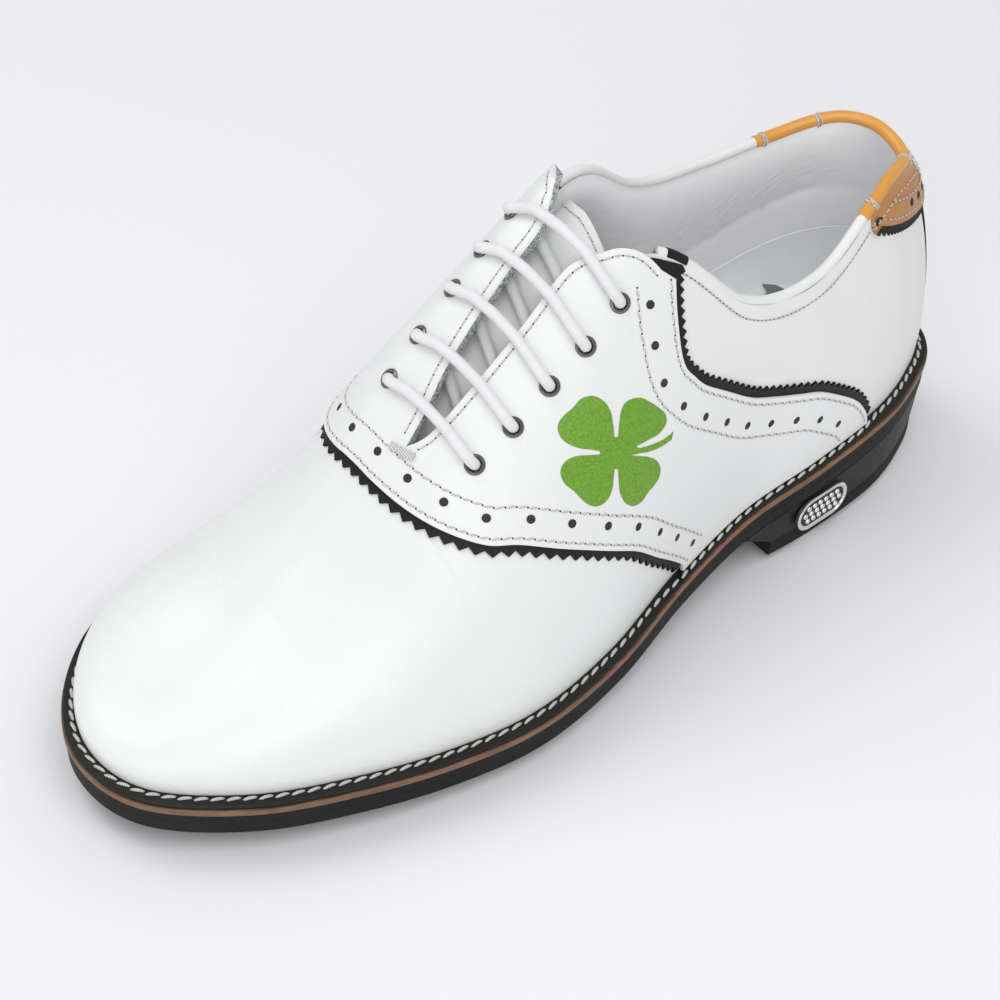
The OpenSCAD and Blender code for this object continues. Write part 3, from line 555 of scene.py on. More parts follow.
def stitches(name, c, off, pitch, width, mat=THREAD, slant=0.0, gap=.22, lift=.12, holes=True, body="shoe",
             normals=None):
    """A row of stitches, each a short thread that dives into the leather, and flat dark discs of painted shade at
    its needle holes.

    c holds chart points, or points in space where their normals are given too.
    """
    x = over(c, off) if normals is None else c
    n = over_out(c) if normals is None else normals
    s = run_of(x)
    count = max(int(round(s[-1] / pitch)), 1)
    at = (np.arange(count) + .5) * s[-1] / count
    pos, nn = read_at(at, s, x), unit(read_at(at, s, n))
    ahead = read_at(at, s, unit(np.gradient(x, axis=0)))
    ahead = unit(ahead - (ahead * nn).sum(1, keepdims=True) * nn)
    side = np.cross(nn, ahead)
    cos, sin = math.cos(slant), math.sin(slant)
    ahead, side = ahead * cos + side * sin, side * cos - ahead * sin
    sides, rings = 6, 6
    u = np.linspace(-1, 1, rings)
    fat = np.sqrt(np.maximum(1 - (u * .93) ** 2, 0)) ** .7 * width / 2
    length = pitch * (1 - gap) / 2
    ang = np.linspace(0, 2 * math.pi, sides, endpoint=False)
    a = np.repeat(u * length, sides)
    b = np.concatenate([np.cos(ang) * f for f in fat])
    h = np.concatenate([np.sin(ang) * f for f in fat]) + np.repeat(lift * (1 - 1.6 * u * u), sides)
    pts = pos[:, None] + a[:, None] * ahead[:, None] + b[:, None] * side[:, None] + h[:, None] * nn[:, None]
    per, faces = rings * sides, []
    for k in range(count):
        faces += [f[::-1] for f in grid_faces(rings, sides, wrap_m=True, first=k * per)]
        start, end = range(k * per, k * per + sides), range(k * per + per - sides, k * per + per)
        faces += [tuple(start)[::-1], tuple(end)]
    obj = make(name, pts.reshape(-1, 3), faces, mat, "thread", body=body)
    # flat dark discs just over the leather at each needle hole: painted shade
    if holes:
        at = np.arange(count + 1) * s[-1] / count
        pos, nn = read_at(at, s, x)[:, None], unit(read_at(at, s, n))
        e1 = unit(np.cross(nn, [.3, .2, 1.0]))
        e2 = np.cross(nn, e1)
        ang = np.linspace(0, 2 * math.pi, 8, endpoint=False)[:, None]
        pts = pos + nn[:, None] * .03 + width * .5 * (np.cos(ang) * e1[:, None] + np.sin(ang) * e2[:, None])
        make(name + "_holes", pts.reshape(-1, 3), [tuple(range(8 * k, 8 * k + 8)) for k in range(count + 1)],
             RECESS_SHADE, "thread", body=body)
    return obj


def tube(name, path, radius, mat, slot, sides=16, strand=1.0):
    """A round cord or roll along a path, with u round it and v along it."""
    ahead = unit(np.gradient(path, axis=0))
    u = unit(np.cross(ahead[0], [.3, .2, 1.0]))
    frames = []
    for t in ahead:
        u = unit(u - (u @ t) * t)
        frames.append((u, np.cross(t, u)))
    ang = np.linspace(0, 2 * math.pi, sides + 1)
    pts = np.array([p + radius * (np.cos(ang)[:, None] * a + np.sin(ang)[:, None] * b)
                    for p, (a, b) in zip(path, frames)])
    nrm = unit(pts - path[:, None])
    uv = np.stack(np.broadcast_arrays(ang[None] * radius / strand, run_of(path)[:, None] / strand), -1)
    faces = [f[::-1] for f in grid_faces(len(path), sides + 1)]
    faces += [tuple(range(sides))[::-1], tuple((len(path) - 1) * (sides + 1) + j for j in range(sides))]
    return make(name, pts.reshape(-1, 3), faces, mat, slot, normals=nrm.reshape(-1, 3), uv=uv.reshape(-1, 2))


def pinked(name, edge, under, out, tooth, pitch):
    """A black strip with saw teeth that shows past an edge, drawn as chart points with its left outside."""
    c = walk(edge, pitch / 2)
    left, n = edge_frame(c)
    one = np.ones(len(c))
    reach = out + tooth * (np.arange(len(c)) % 2)
    d = np.stack([-under * one, -under / 2 * one, 0 * one, out * .6 * one, reach], 1)
    ch = np.stack([chart_move(c, left * d[:, k:k + 1]) for k in range(5)], 1)
    top, nn = over(ch, TRIM_OFF + TRIM_T), over_out(ch)
    low = over(ch[:, -1], TRIM_OFF - .1)
    wall = unit(left + .2 * n)
    faces = grid_faces(len(c), 5)
    base = len(c) * 5
    pts = np.concatenate([top.reshape(-1, 3), top[:, -1], low])
    nrm = np.concatenate([nn.reshape(-1, 3), wall, wall])
    faces += [(base + i, base + len(c) + i, base + len(c) + i + 1, base + i + 1) for i in range(len(c) - 1)]
    return make(name, pts, faces, BLACK, "black_leather", normals=nrm)


# ---------------------------------------------------------------- pattern lines
FRONT_EDGE = np.array([
    [5.95, .985], [6.4, .90], [6.75, .82], [7.15, .74], [7.55, .65], [7.9, .56], [8.15, .50], [8.35, .42],
    [8.5, .33], [8.6, .23], [8.65, .12], [8.66, 0]])
REAR_EDGE = np.array([
    [5.79, .44], [5.86, .50], [5.9, .57], [5.88, .61], [5.8, .64], [5.65, .68], [5.35, .73], [5.0, .78],
    [4.65, .81], [4.35, .83], [4.05, .85], [3.7, .89], [3.5, .92], [3.35, .96], [3.3, .985]])
SLIT_IN = np.array([
    [6.16, -.12], [6.28, -.02], [6.4, .03], [6.6, .07], [7.0, .08], [7.7, .11], [8.05, .14], [8.3, .15]])
SLIT_OUT = np.array([
    [5.9, .40], [6.0, .34], [6.15, .29], [6.3, .26], [6.6, .21], [7.1, .215], [7.6, .21], [8.1, .19], [8.3, .15]])
TOP_MEDIAL = np.array([[5.79, -.44], [5.9, -.39], [6.0, -.32], [6.08, -.22], [6.16, -.12]])
EYELETS_LATERAL = np.array([[6.35, .38], [6.75, .38], [7.15, .37], [7.55, .36], [7.95, .34]])
EYELETS_MEDIAL = np.array([[6.6, -.14], [6.95, -.12], [7.3, -.09], [7.7, -.07], [8.06, -.05]])
MIRROR = np.array([1, -1])
WELT_W, WELT_T, MIDSOLE_T, OUTSOLE_T = 3.8, 1.9, 1.9, 7.7
HEEL_GAP, LIFT_TOP, HEEL_IN = 2.8, 8.8, 1.1
SADDLE_OFF, SADDLE_T = 0.95, 1.1
FACE = SADDLE_OFF + SADDLE_T
TRIM_OFF, TRIM_T = 0.15, 0.6
# the saddle's front and rear edges: how far in the holes are, their pitch, the two stitch rows, the teeth's pitch
FRONT_HOLES, FRONT_PITCH, FRONT_ROWS, FRONT_TEETH = 7.0, 11.8, (1.8, 10.0), 4.1
REAR_HOLES, REAR_PITCH, REAR_ROWS, REAR_TEETH = 8.2, 11.2, (1.7, 11.8), 3.0
HOLE_R, EYELET_R, STITCH, STITCH_W = 1.25, 2.3, 3.1, .62
BINDING_R = 1.95
# w at the saddle's lower edge, and as far down as stitches and holes go
SEAM, STITCH_LOW, HOLE_LOW = .997, .985, .965
CLOSEST = .55


def vamp_back(t):
    return np.maximum(np.interp(t, FRONT_EDGE[:, 0], FRONT_EDGE[:, 1]) - .13, .05)


# ---------------------------------------------------------------- upper
def build_vamp():
    t = np.concatenate([np.linspace(5.8, 8.6, 60), np.linspace(8.65, 13, 100)])
    ps = np.concatenate([t, 26 - t[-2::-1]])
    high = np.where(station(ps) > 8.55, 1.0, 1 - vamp_back(station(ps)))
    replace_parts(panel("vamp_leather", ps, 0 * ps + .0005, high, 50, 0, WHITE, "white_leather"), "vamp", "toe_puff")
    t = np.linspace(6.36, 12.9, 80)
    for name, ps, slit in (("lateral", t, SLIT_OUT), ("medial", 26 - t[::-1], SLIT_IN * MIRROR)):
        tt = station(ps)
        edge = np.where(tt < 8.3, np.interp(tt, slit[:, 0], slit[:, 1]), 0)
        lining = panel("vamp_lining_" + name, ps, 0 * ps + .002, np.minimum(1 - edge, 1), 24, -3.6, LINING,
                       "white_lining", inward=True)
        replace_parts(lining, "vamp_lining")


def creased(p, v):
    """Soft vertical puckers of the quarter's leather."""
    return .16 * np.sin(9 * p + 3 * np.sin(7 * v)) * np.exp(-((v - .30) / .16) ** 2)


def collar_roll(p, v):
    """The padded roll of the lining under the topline, with a crease below it and fine wrinkles on it."""
    d = np.clip((topline(p) - v) / .21, 0, 1.6)
    pad = np.where(d < 1, np.sin(np.pi * np.minimum(d, 1) ** .75), 0)
    crease = np.exp(-((d - 1.03) / .07) ** 2)
    wrinkle = np.sin(13 * p + 9 * np.sin(1.7 * p) + 6 * np.sin(11 * d)) * np.sin(5.3 * p + 2)
    wrinkle = wrinkle * np.exp(-((d - .8) / .35) ** 2)
    return np.clip((np.abs(p) - .6) / 1.6, 0, 1) * (-2.9 * pad + .5 * crease + .28 * wrinkle)


def build_quarters():
    for name, ps in (("lateral", np.linspace(.0, 6.25, 130)), ("medial", np.linspace(-6.25, 0, 130))):
        near = np.abs(ps)
        low = np.where(near < 5.75, .0005, 1.02 - vamp_back(near))
        top = np.maximum(topline(ps) + .004, low + .02)
        outer = panel("quarter_" + name + "_leather", ps, low, top, 40, 0, QUARTER, "white_leather", swell=creased)
        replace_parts(outer, "quarter_" + name)
        inner = panel("quarter_" + name + "_inner", ps, 0 * ps + .002, topline(ps) + .008, 48, -3.5, LINING,
                      "white_lining", inward=True, swell=collar_roll)
        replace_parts(inner, "quarter_lining_" + name, *(["heel_counter"] if name == "lateral" else []))


def saddle_loop():
    bottom = np.column_stack([np.linspace(3.3, 5.95, 60), np.full(60, SEAM)])
    parts = [bottom * MIRROR, walk(FRONT_EDGE * MIRROR, 1.3), walk(FRONT_EDGE[::-1], 1.3), bottom[::-1],
             walk(REAR_EDGE[::-1], 1.3), walk(SLIT_OUT, 1.2), walk(SLIT_IN[::-1], 1.2),
             walk(TOP_MEDIAL[::-1], 1.2), walk(REAR_EDGE * MIRROR, 1.3)]
    c = np.concatenate(parts)
    x = over(c)
    keep = [0]
    for i in range(1, len(c)):
        if np.linalg.norm(x[i] - x[keep[-1]]) > CLOSEST:
            keep.append(i)
    return c[keep]


def band_rows(edge, d):
    """A row d inside an edge of the saddle."""
    return beside(walk(edge, 1.0), -d)


def trimmed(c):
    """The points of a row that stay off the welt."""
    return c[np.abs(c[:, 1]) <= STITCH_LOW]


def hole_loops(row, at):
    """Round holes at the runs at along a row, where there is room above the welt."""
    c = read_at(at, run_of(over(row)), row)
    return [disc_loop(a, HOLE_R) for a in c if abs(a[1]) < HOLE_LOW]


def build_saddle():
    front = np.concatenate([FRONT_EDGE, (FRONT_EDGE * MIRROR)[-2::-1]])
    rear = {"lateral": REAR_EDGE, "medial": (REAR_EDGE * MIRROR)[::-1]}
    row = band_rows(front, FRONT_HOLES)
    length = run_of(over(row))[-1]
    count = int(length / FRONT_PITCH)
    holes = hole_loops(row, (length - count * FRONT_PITCH) / 2 + FRONT_PITCH * np.arange(count + 1))
    for edge in rear.values():
        row = band_rows(edge, REAR_HOLES)
        holes += hole_loops(row, np.arange(5.5, run_of(over(row))[-1] - 2, REAR_PITCH))
    eyes = [disc_loop(c, EYELET_R, 20) for c in np.concatenate([EYELETS_LATERAL, EYELETS_MEDIAL])]
    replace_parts(cut_piece("saddle_leather", saddle_loop(), holes + eyes, FACE, 1.2, WHITE), "saddle",
                "facing_stay_lateral", "facing_stay_medial")
    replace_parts(pinked("front_trim_pinked", front, 13.5, 1.7, 1.7, FRONT_TEETH), "front_trim")
    for name, edge in rear.items():
        top = np.array([[5.72, .415 if name == "lateral" else -.415]])
        edge = np.vstack([top, edge] if name == "lateral" else [edge, top])
        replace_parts(pinked("rear_trim_" + name + "_pinked", edge, 12, 2.0, 1.4, REAR_TEETH), "rear_trim_" + name)
    dark = np.concatenate([over(np.vstack([h, h.mean(0)]), FACE - .22) for h in holes])
    m = len(holes[0])
    make("punch_shadows", dark, [(k * (m + 1) + j, k * (m + 1) + (j + 1) % m, k * (m + 1) + m)
                                 for k in range(len(holes)) for j in range(m)], RECESS_SHADE, "black_leather")
    for d, tag in zip(FRONT_ROWS, ("outer", "inner")):
        stitches("front_stitch_" + tag, trimmed(band_rows(front, d)), FACE, STITCH, STITCH_W, slant=.25)
    for name, edge in rear.items():
        for d, tag in zip(REAR_ROWS, ("outer", "inner")):
            c = trimmed(band_rows(edge, d))
            if tag == "inner" and name == "lateral":
                c = c[c[:, 1] > .30]
            stitches("rear_stitch_" + name + "_" + tag, c, FACE, STITCH, STITCH_W, slant=.25)
    for name, slit, d in (("lateral", SLIT_OUT, 2.0), ("medial", SLIT_IN, -2.2)):
        stitches("facing_stitch_" + name, beside(walk(slit, 1.0), d)[:-3], FACE, 2.9, .58)
    offs = FACE - np.array([.25, 1.0, 1.8, 2.6, 3.2])
    for name, line, sign in (("medial", np.vstack([TOP_MEDIAL[2:-1], SLIT_IN]), 1), ("lateral", SLIT_OUT, -1)):
        c = walk(line, .7)
        left, n = edge_frame(c)
        rough = .07 * rng.standard_normal((len(c), len(offs)))
        rough[:, 0] = 0
        pts = over(c)[:, None] + offs[None, :, None] * n[:, None] + (.05 + rough)[..., None] * sign * left[:, None]
        sheet("facing_edge_" + name, pts, EDGE, "white_leather")


def build_clover():
    """A plain four-leaf clover printed on the saddle, drawn upright in the camera's plane."""
    centre = np.array([[6.80, .605]])
    n = over_out(centre)[0]
    e1 = unit(view_right - (view_right @ n) * n)
    e2 = np.cross(n, e1)
    turn = np.linalg.inv(np.array([[e1 @ view_right, e2 @ view_right], [e1 @ view_up, e2 @ view_up]]))
    leaf = np.array([
        [4.4, .4], [7.5, .7], [10.8, 1.2], [13.6, 2.8], [14.9, 5.6], [14.0, 8.6], [11.4, 10.9],
        [9.6, 12.9], [7.2, 14.6], [4.4, 14.5], [2.2, 12.7], [1.0, 9.8], [.7, 7.0], [.4, 4.4]])
    by_stem = np.array([
        [5.6, 1.95], [8.9, 3.5], [12.6, 5.3], [14.7, 8.2], [14.0, 10.9], [11.4, 12.8],
        [8.9, 14.2], [6.4, 15.1], [3.3, 14.3], [1.5, 12.1], [.8, 8.4], [.4, 4.4]])
    stem = np.array([
        [5.8, -.15], [9.5, .35], [13.4, 1.4], [17.2, 3.3], [17.6, 5.7], [14.0, 3.6], [10.0, 2.3], [6.4, 1.5]])
    parts = [along(by_stem, np.linspace(0, 11, 56))]
    for k, size in ((1, 1.0), (2, .97), (3, .98)):
        a = math.radians(90 * k)
        rot = np.array([[math.cos(a), math.sin(a)], [-math.sin(a), math.cos(a)]])
        parts.append(along(leaf, np.linspace(0, 13, 62)) * size @ rot)
    parts += [along(side, np.linspace(0, 3, 12)) for side in (stem[:4], stem[4:])]
    flat = np.concatenate(parts) @ turn.T
    q = over(centre)[0] + flat[:, :1] * e1 + flat[:, 1:] * e2
    c = np.repeat(centre, len(q), 0)
    for _ in range(6):
        c = chart_move(c, q - over(c))
    cut_piece("clover_print", c, [], FACE + .06, .05, CLOVER, bevel=.12, step=1.6)


# ---------------------------------------------------------------- collar
def patch_low(p):
    """The heel patch's lower edge."""
    return np.minimum(.415 + .05 * (np.abs(p) / 3.3) ** 3, topline(p) - .035)


def collar_line(p):
    """The middle of the rolled edge round the opening."""
    return skin(p, topline(p) + .008, -1.7)


def tuck(p, v):
    """How far the heel patch draws in toward the binding."""
    f = np.clip((v - topline(p) + .06) / .05, 0, 1)
    return -1.5 * f * f * (3 - 2 * f)


def patch_stitches(tag, ps, v):
    line = skin(ps, v, 1.72 + tuck(ps, v))
    stitches("patch_stitch_" + tag, line, 0, 2.4, .5, WELT_THREAD, normals=outward(ps, v))


def build_heel_patch():
    ps = np.linspace(-3.3, 3.3, 120)
    low, high = patch_low(ps), topline(ps) + .004
    patch = panel("heel_patch_leather", ps, low, high, 14, 1.7, TAN, "tan_leather", swell=tuck)
    sheet("heel_patch_edge", np.stack([skin(ps, low, 1.7), skin(ps, low - .001, .7)], 1), TAN, "tan_leather")
    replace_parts(patch, "heel_patch")
    fine = np.linspace(-3.25, 3.25, 4 * 36 + 1)
    base = patch_low(fine)
    teeth = (np.arange(len(fine)) % 2) * .015
    strip = np.stack([skin(fine, base + .02, .85), skin(fine, base - .006, .85),
                      skin(fine, base - .010 - teeth, .85), skin(fine, base - .010 - teeth, .1)], 1)
    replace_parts(sheet("heel_patch_pinked", strip, BLACK, "black_leather", crisp=40), "heel_patch_trim")
    ps = np.linspace(-.95, .95, 24)
    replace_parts(panel("backstay_leather", ps, 0 * ps + .003, patch_low(ps) - .02, 40, .75, BLACK, "black_leather"),
                "backstay")
    v = np.linspace(.003, patch_low(.95) - .02, 41)
    for side, tag in ((-1, "inner"), (1, "outer")):
        edge = np.stack([skin(np.full(41, .95 * side), v, off) for off in (.75, .05)], 1)
        sheet("backstay_edge_" + tag, edge, BLACK, "black_leather")


def build_collar():
    path = resample(collar_line(np.linspace(-3.35, 3.35, 160)), 1.2)
    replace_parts(tube("heel_binding_roll", path, BINDING_R, TAN_EDGE, "tan_leather", sides=18), "heel_binding")
    for name, a, b in (("lateral", 3.3, 5.85), ("medial", -3.3, -6.05)):
        path = resample(collar_line(np.linspace(a, b, 120)), 1.5)
        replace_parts(tube("collar_roll_" + name, path, 1.7, WHITE, "white_leather"), "collar_binding_" + name)
        q = np.linspace(a * 1.01, b * .985, 200)
        v = topline(q) - .027
        stitches("topline_stitch_" + name, skin(q, v, .16), 0, 1.65, .5, normals=outward(q, v), gap=.4, lift=.05)
    ps = np.linspace(-3.3, 3.3, 120)
    patch_stitches("top", ps, topline(ps) - .03)
    patch_stitches("low", ps, patch_low(ps) + .014)
    v = patch_low(ps) + .055
    keep = v < topline(ps) - .02
    ps, v = ps[keep], v[keep]
    stitches("patch_stitch_seam", skin(ps, v, 1.72), 0, 2.4, .5, WELT_THREAD, normals=outward(ps, v))
    # dark rings and discs where the heel patch is punched: painted shade in the holes
    a = np.linspace(0, 2 * math.pi, 16, endpoint=False)[:, None]
    for side, tag in ((-1, "inner"), (1, "outer")):
        for k, p in enumerate((2.2, 1.75, 1.3)):
            v = patch_low(side * p) + .035
            if v > topline(side * p) - .055:
                continue
            x, n = skin(side * p, v, 1.74), outward(side * p, v)
            e1 = unit(np.cross(n, [0, 0, 1.0]))
            e2 = np.cross(n, e1)
            rings = np.concatenate([x + r * (np.cos(a) * e1 + np.sin(a) * e2) + h * n
                                    for r, h in ((1.25, 0), (1.0, .06), (.95, -.02))])
            make("patch_hole_shade_%d_%s" % (k + 1, tag), rings, grid_faces(3, 16, wrap_m=True) + [tuple(range(32, 48))],
                 RECESS_SHADE, "tan_leather")
    tube("trim_wrap", resample(collar_line(np.linspace(5.6, 5.77, 20)), .8), BINDING_R, BLACK, "black_leather")
    a = np.linspace(-.35 * math.pi, 1.35 * math.pi, 30)[:, None]
    for k, p in enumerate((-3.25, -2.3, 1.35, 3.2)):
        d = unit(collar_line(p + .02) - collar_line(p - .02))
        e2 = unit(np.cross(d, outward(p, topline(p))))
        e1 = unit(np.cross(e2, d))
        for j, shift in enumerate((-.55, .25)):
            turn = collar_line(p) + 2.05 * (np.cos(a) * e1 + np.sin(a) * e2) + d * (shift + .25 * np.sin(3 * a))
            tube("thread_tie_%d_%d" % (k + 1, j + 1), turn, .32, WELT_THREAD, "thread", sides=8)


# ---------------------------------------------------------------- tongue, lace, eyelets
def tongue_half(t):
    return np.interp(t, [6.0, 6.2, 7, 8.2, 8.9], [.26, .36, .42, .40, .34])


def build_tongue():
    t = np.linspace(6.25, 8.9, 60)
    w = .1 + (tongue_half(t)[:, None] + .01) * np.linspace(-1, 1, 41)
    c = np.stack([np.broadcast_to(t[:, None], w.shape), w], -1)
    rise = 4.2 * np.clip((t - 8.28) / .55, 0, 1)[:, None]
    top, low = over(c, -8.2 + rise), over(c, -10.0 + rise)
    m, k = w.size, w.shape[1]
    faces = grid_faces(*w.shape) + [f[::-1] for f in grid_faces(*w.shape, first=m)]
    faces += [(j, j + 1, m + j + 1, m + j) for j in range(k - 1)]
    obj = make("tongue_leather", np.concatenate([top.reshape(-1, 3), low.reshape(-1, 3)]), faces, WHITE,
               "white_leather", body=None, crisp=40)
    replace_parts(obj, "tongue", "tongue_root")
    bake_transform(obj)
    line = np.column_stack([np.full(60, 6.32), np.linspace(-.2, .42, 60)])
    stitches("tongue_stitch", over(line, -8.15), 0, 2.6, .45, normals=over_out(line), body="tongue_flap")


LACE_OVER, LACE_UNDER = FACE + 2.15, -6.0
TAIL_START = np.array([[7.5, .47], [7.2, .48], [6.9, .47], [6.6, .44]])
TAIL_END = np.array([[7.95, -.15], [7.7, -.22], [7.4, -.25], [7.1, -.26]])


def lace_route():
    """Points along the lace: up through each outer eyelet, across, down through the inner one, and on below."""
    def at(e, off):
        return over(np.asarray(e, float)[None], off)[0]

    def toward(e, g):
        n = over_out(np.asarray(e, float)[None])[0]
        d = at(g, 0) - at(e, 0)
        return unit(d - (d @ n) * n)

    def lip(e, g):
        return [at(e, FACE + .4), at(e, FACE + 1.75) + .6 * toward(e, g), at(e, FACE + 2.55) + 2.4 * toward(e, g)]

    def under(e, g):
        return [at(e, -3.9), at(e, -5.4) + .6 * toward(e, g), at(e, LACE_UNDER) + 2.4 * toward(e, g)]

    def between(e, g, off, fs):
        return [at(e + (g - e) * f, off) for f in fs]

    route = [at(a, LACE_UNDER) for a in TAIL_START]
    for k in range(5):
        l, m = EYELETS_LATERAL[k], EYELETS_MEDIAL[k]
        before = TAIL_START[3] if k == 0 else EYELETS_MEDIAL[k - 1]
        after = TAIL_END[0] if k == 4 else EYELETS_LATERAL[k + 1]
        across = between(l, m, LACE_OVER, (.3, .5, .7))
        route += under(l, before)[::-1] + lip(l, m) + across + lip(m, l)[::-1] + under(m, after)
        if k < 4:
            route += between(m, after, LACE_UNDER, (.35, .65))
    return np.array(route + [at(a, LACE_UNDER) for a in TAIL_END])


def build_lace():
    path = resample(lace_route(), .5)
    weight = np.exp(-.5 * (np.arange(-5, 6) / 2.0) ** 2)
    weight /= weight.sum()
    padded = np.pad(path, ((5, 5), (0, 0)), mode="edge")
    smooth = np.column_stack([np.convolve(padded[:, i], weight, "valid") for i in range(3)])
    smooth[0], smooth[-1] = path[0], path[-1]
    obj = tube("lace_braided", resample(smooth, .9), 1.6, LACE, "lace_cord", strand=.75)
    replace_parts(obj, "lace")
    print("lace length, mm:", round(float(run_of(path)[-1])))


# ---------------------------------------------------------------- bottom
def ring_sweep(name, profile, mat, slot):
    """A band round the shoe, its profile given as distance off the feather line and height."""
    n = 520
    p = np.linspace(0, 26, n, endpoint=False)
    pts = np.stack([rim(p, np.full(n, o)) + [0, 0, z] for o, z in profile], 1)
    return make(name, pts.reshape(-1, 3), grid_faces(n, len(profile), wrap_n=True), mat, slot, crisp=30)


def build_bottom():
    w, m = WELT_W, -WELT_T
    o = m - MIDSOLE_T
    b = o - OUTSOLE_T
    welt = [(-2.5, 0), (.3, .02), (3.05, 0), (w - .25, -.03), (w, -.3), (w - .1, m + .4), (w - .6, m + .2)]
    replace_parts(ring_sweep("welt_strip", welt, WELT, "black_welt"), "welt")
    midsole = [(w - 1.2, m + .3), (w + .30, m + .28), (w + .45, m + .05), (w + .45, o + .35), (w + .3, o + .1),
               (w - .2, o)]
    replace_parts(ring_sweep("midsole_edge_strip", midsole, MIDSOLE, "brown_leather"), "midsole")
    outsole = [(w - .4, o), (w + .05, o - .2), (w + .05, o - 2.9), (w - .2, o - 3.05), (w - .05, o - 3.25),
               (w - .1, b + .6), (w - .45, b + .1), (w - .9, b)]
    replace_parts(ring_sweep("outsole_edge", outsole, OUTSOLE, "outsole_rubber"), "outsole")
    t = np.linspace(.01, 12.99, 200)
    left, right = rim(t, np.full(200, w - .9)), rim(26 - t, np.full(200, w - .9))
    f = np.linspace(0, 1, 30)[None, :, None]
    sheet("outsole_tread", left[:, None] * (1 - f) + right[:, None] * f + [0, 0, b], OUTSOLE, "outsole_rubber")
    ps = np.linspace(0, 26, 1600)
    under_saddle = np.clip((station(ps) - 3.1) / .3, 0, 1) * np.clip((6.5 - station(ps)) / .5, 0, 1)
    line = rim(ps, 1.35 + 1.3 * under_saddle) + [0, 0, .02]
    up = np.tile([0.0, 0, 1], (1600, 1))
    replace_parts(stitches("welt_stitching", line, 0, 4.3, 1.0, WELT_THREAD, normals=up, slant=.2, gap=.1, lift=.2,
                         holes=False), "welt_thread")
    build_heel(w - .3, b)


def build_heel(w, b):
    """The heel under the sole, which narrows and shortens downward, and its top lift."""
    a, end, cut = .02, 4.988, .44
    reach = end - cut
    q = np.concatenate([-np.linspace(end, a, 90), np.linspace(a, end, 90)])
    top = rim(q, np.full(len(q), w))[:, 2] + b
    rows = []
    for s in np.linspace(0, 1, 12):
        t = np.sign(q) * (a + (np.abs(q) - a) * (1 - s + s * (reach - a) / (end - a)))
        x = rim(t, np.full(len(q), w - HEEL_IN * s))
        x[:, 2] = top * (1 - s) + LIFT_TOP * s
        rows.append(x)
    wall = np.stack(rows, 1)
    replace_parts(sheet("heel_stack", wall, HEEL, "black_heel", crisp=40), "heel_block")
    f = np.linspace(0, 1, 20)[None, :, None]
    breast = wall[0][:, None] * (1 - f) + wall[-1][:, None] * f
    breast[..., 0] -= 2.2 * np.sin(np.pi * f[..., 0]) * np.linspace(.2, 1, 12)[:, None]
    sheet("heel_breast", breast, HEEL, "black_heel")
    q = np.linspace(-reach, reach, 180)
    prof = [(w - HEEL_IN, LIFT_TOP), (w - HEEL_IN - .1, LIFT_TOP - .25), (w - HEEL_IN + .02, LIFT_TOP - .45),
            (w - HEEL_IN, HEEL_GAP + .5), (w - HEEL_IN - .4, HEEL_GAP)]
    lift = np.stack([rim(q, np.full(len(q), o)) * [1, 1, 0] + [0, 0, z] for o, z in prof], 1)
    sheet("top_lift_wall", lift, OUTSOLE, "outsole_rubber", crisp=35)
    sheet("top_lift_front", np.stack([lift[0], lift[-1]], 0), OUTSOLE, "outsole_rubber")
    half = len(q) // 2
    f = np.linspace(0, 1, 24)[None, :, None]
    base = lift[:half, -1][::-1][:, None] * (1 - f) + lift[-half:, -1][:, None] * f
    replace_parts(sheet("top_lift_base", base, OUTSOLE, "outsole_rubber"), "heel_top_lift")


def build_badge():
    """A plain oblong metal badge on the heel, with a raised rim and three rows of beads."""
    p, z = 3.93, 14.5
    base = rim(np.array([p]), np.array([WELT_W - .9]))[0]
    d = rim(np.array([p + .05]), np.array([0.0]))[0] - rim(np.array([p - .05]), np.array([0.0]))[0]
    d = unit(d * [1, 1, 0])
    n = np.array([-d[1], d[0], 0])
    o = np.array([base[0], base[1], z])

    def pill(r, h):
        """An outline round the badge's middle, five out to each side, r round its ends and h off the heel."""
        a = np.linspace(-math.pi / 2, math.pi / 2, 18)
        right = np.column_stack([5 + r * np.cos(a), r * np.sin(a)])
        both = np.vstack([right, -right])
        return o + both[:, :1] * d + both[:, 1:] * [0, 0, 1] + h * n

    rings = [pill(r, h) for r, h in ((6, .8), (6, 1.75), (5.75, 2.0), (5.1, 2.0), (4.9, 1.7), (4.6, 1.62))]
    m = len(rings[0])
    # the field sunk inside the rim and round the beads is coloured dark: painted shade
    make("badge_field", rings[-1], [tuple(range(m))], RECESS_SHADE, "badge_metal")
    plate = make("badge_plate_rimmed", np.concatenate(rings), grid_faces(6, m, wrap_m=True), CHROME, "badge_metal",
                 crisp=35)
    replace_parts(plate, "badge_plate")
    pts, faces = [], []
    u, v = np.meshgrid(np.linspace(0, math.pi / 2, 6), np.linspace(0, 2 * math.pi, 13)[:-1], indexing="ij")
    bead = .95 * (np.sin(u)[..., None] * (np.cos(v)[..., None] * d + np.sin(v)[..., None] * [0, 0, 1])
                  + .7 * np.cos(u)[..., None] * n)
    for row, count in ((-2.5, 6), (0, 7), (2.5, 6)):
        for k in range(count):
            c = o + (k - (count - 1) / 2) * 2.5 * d + row * np.array([0, 0, 1]) + 1.6 * n
            faces += grid_faces(6, 12, wrap_m=True, first=len(pts) * 72)
            pts.append((c + bead).reshape(-1, 3))
    make("badge_beads", np.concatenate(pts), faces, CHROME, "badge_metal")


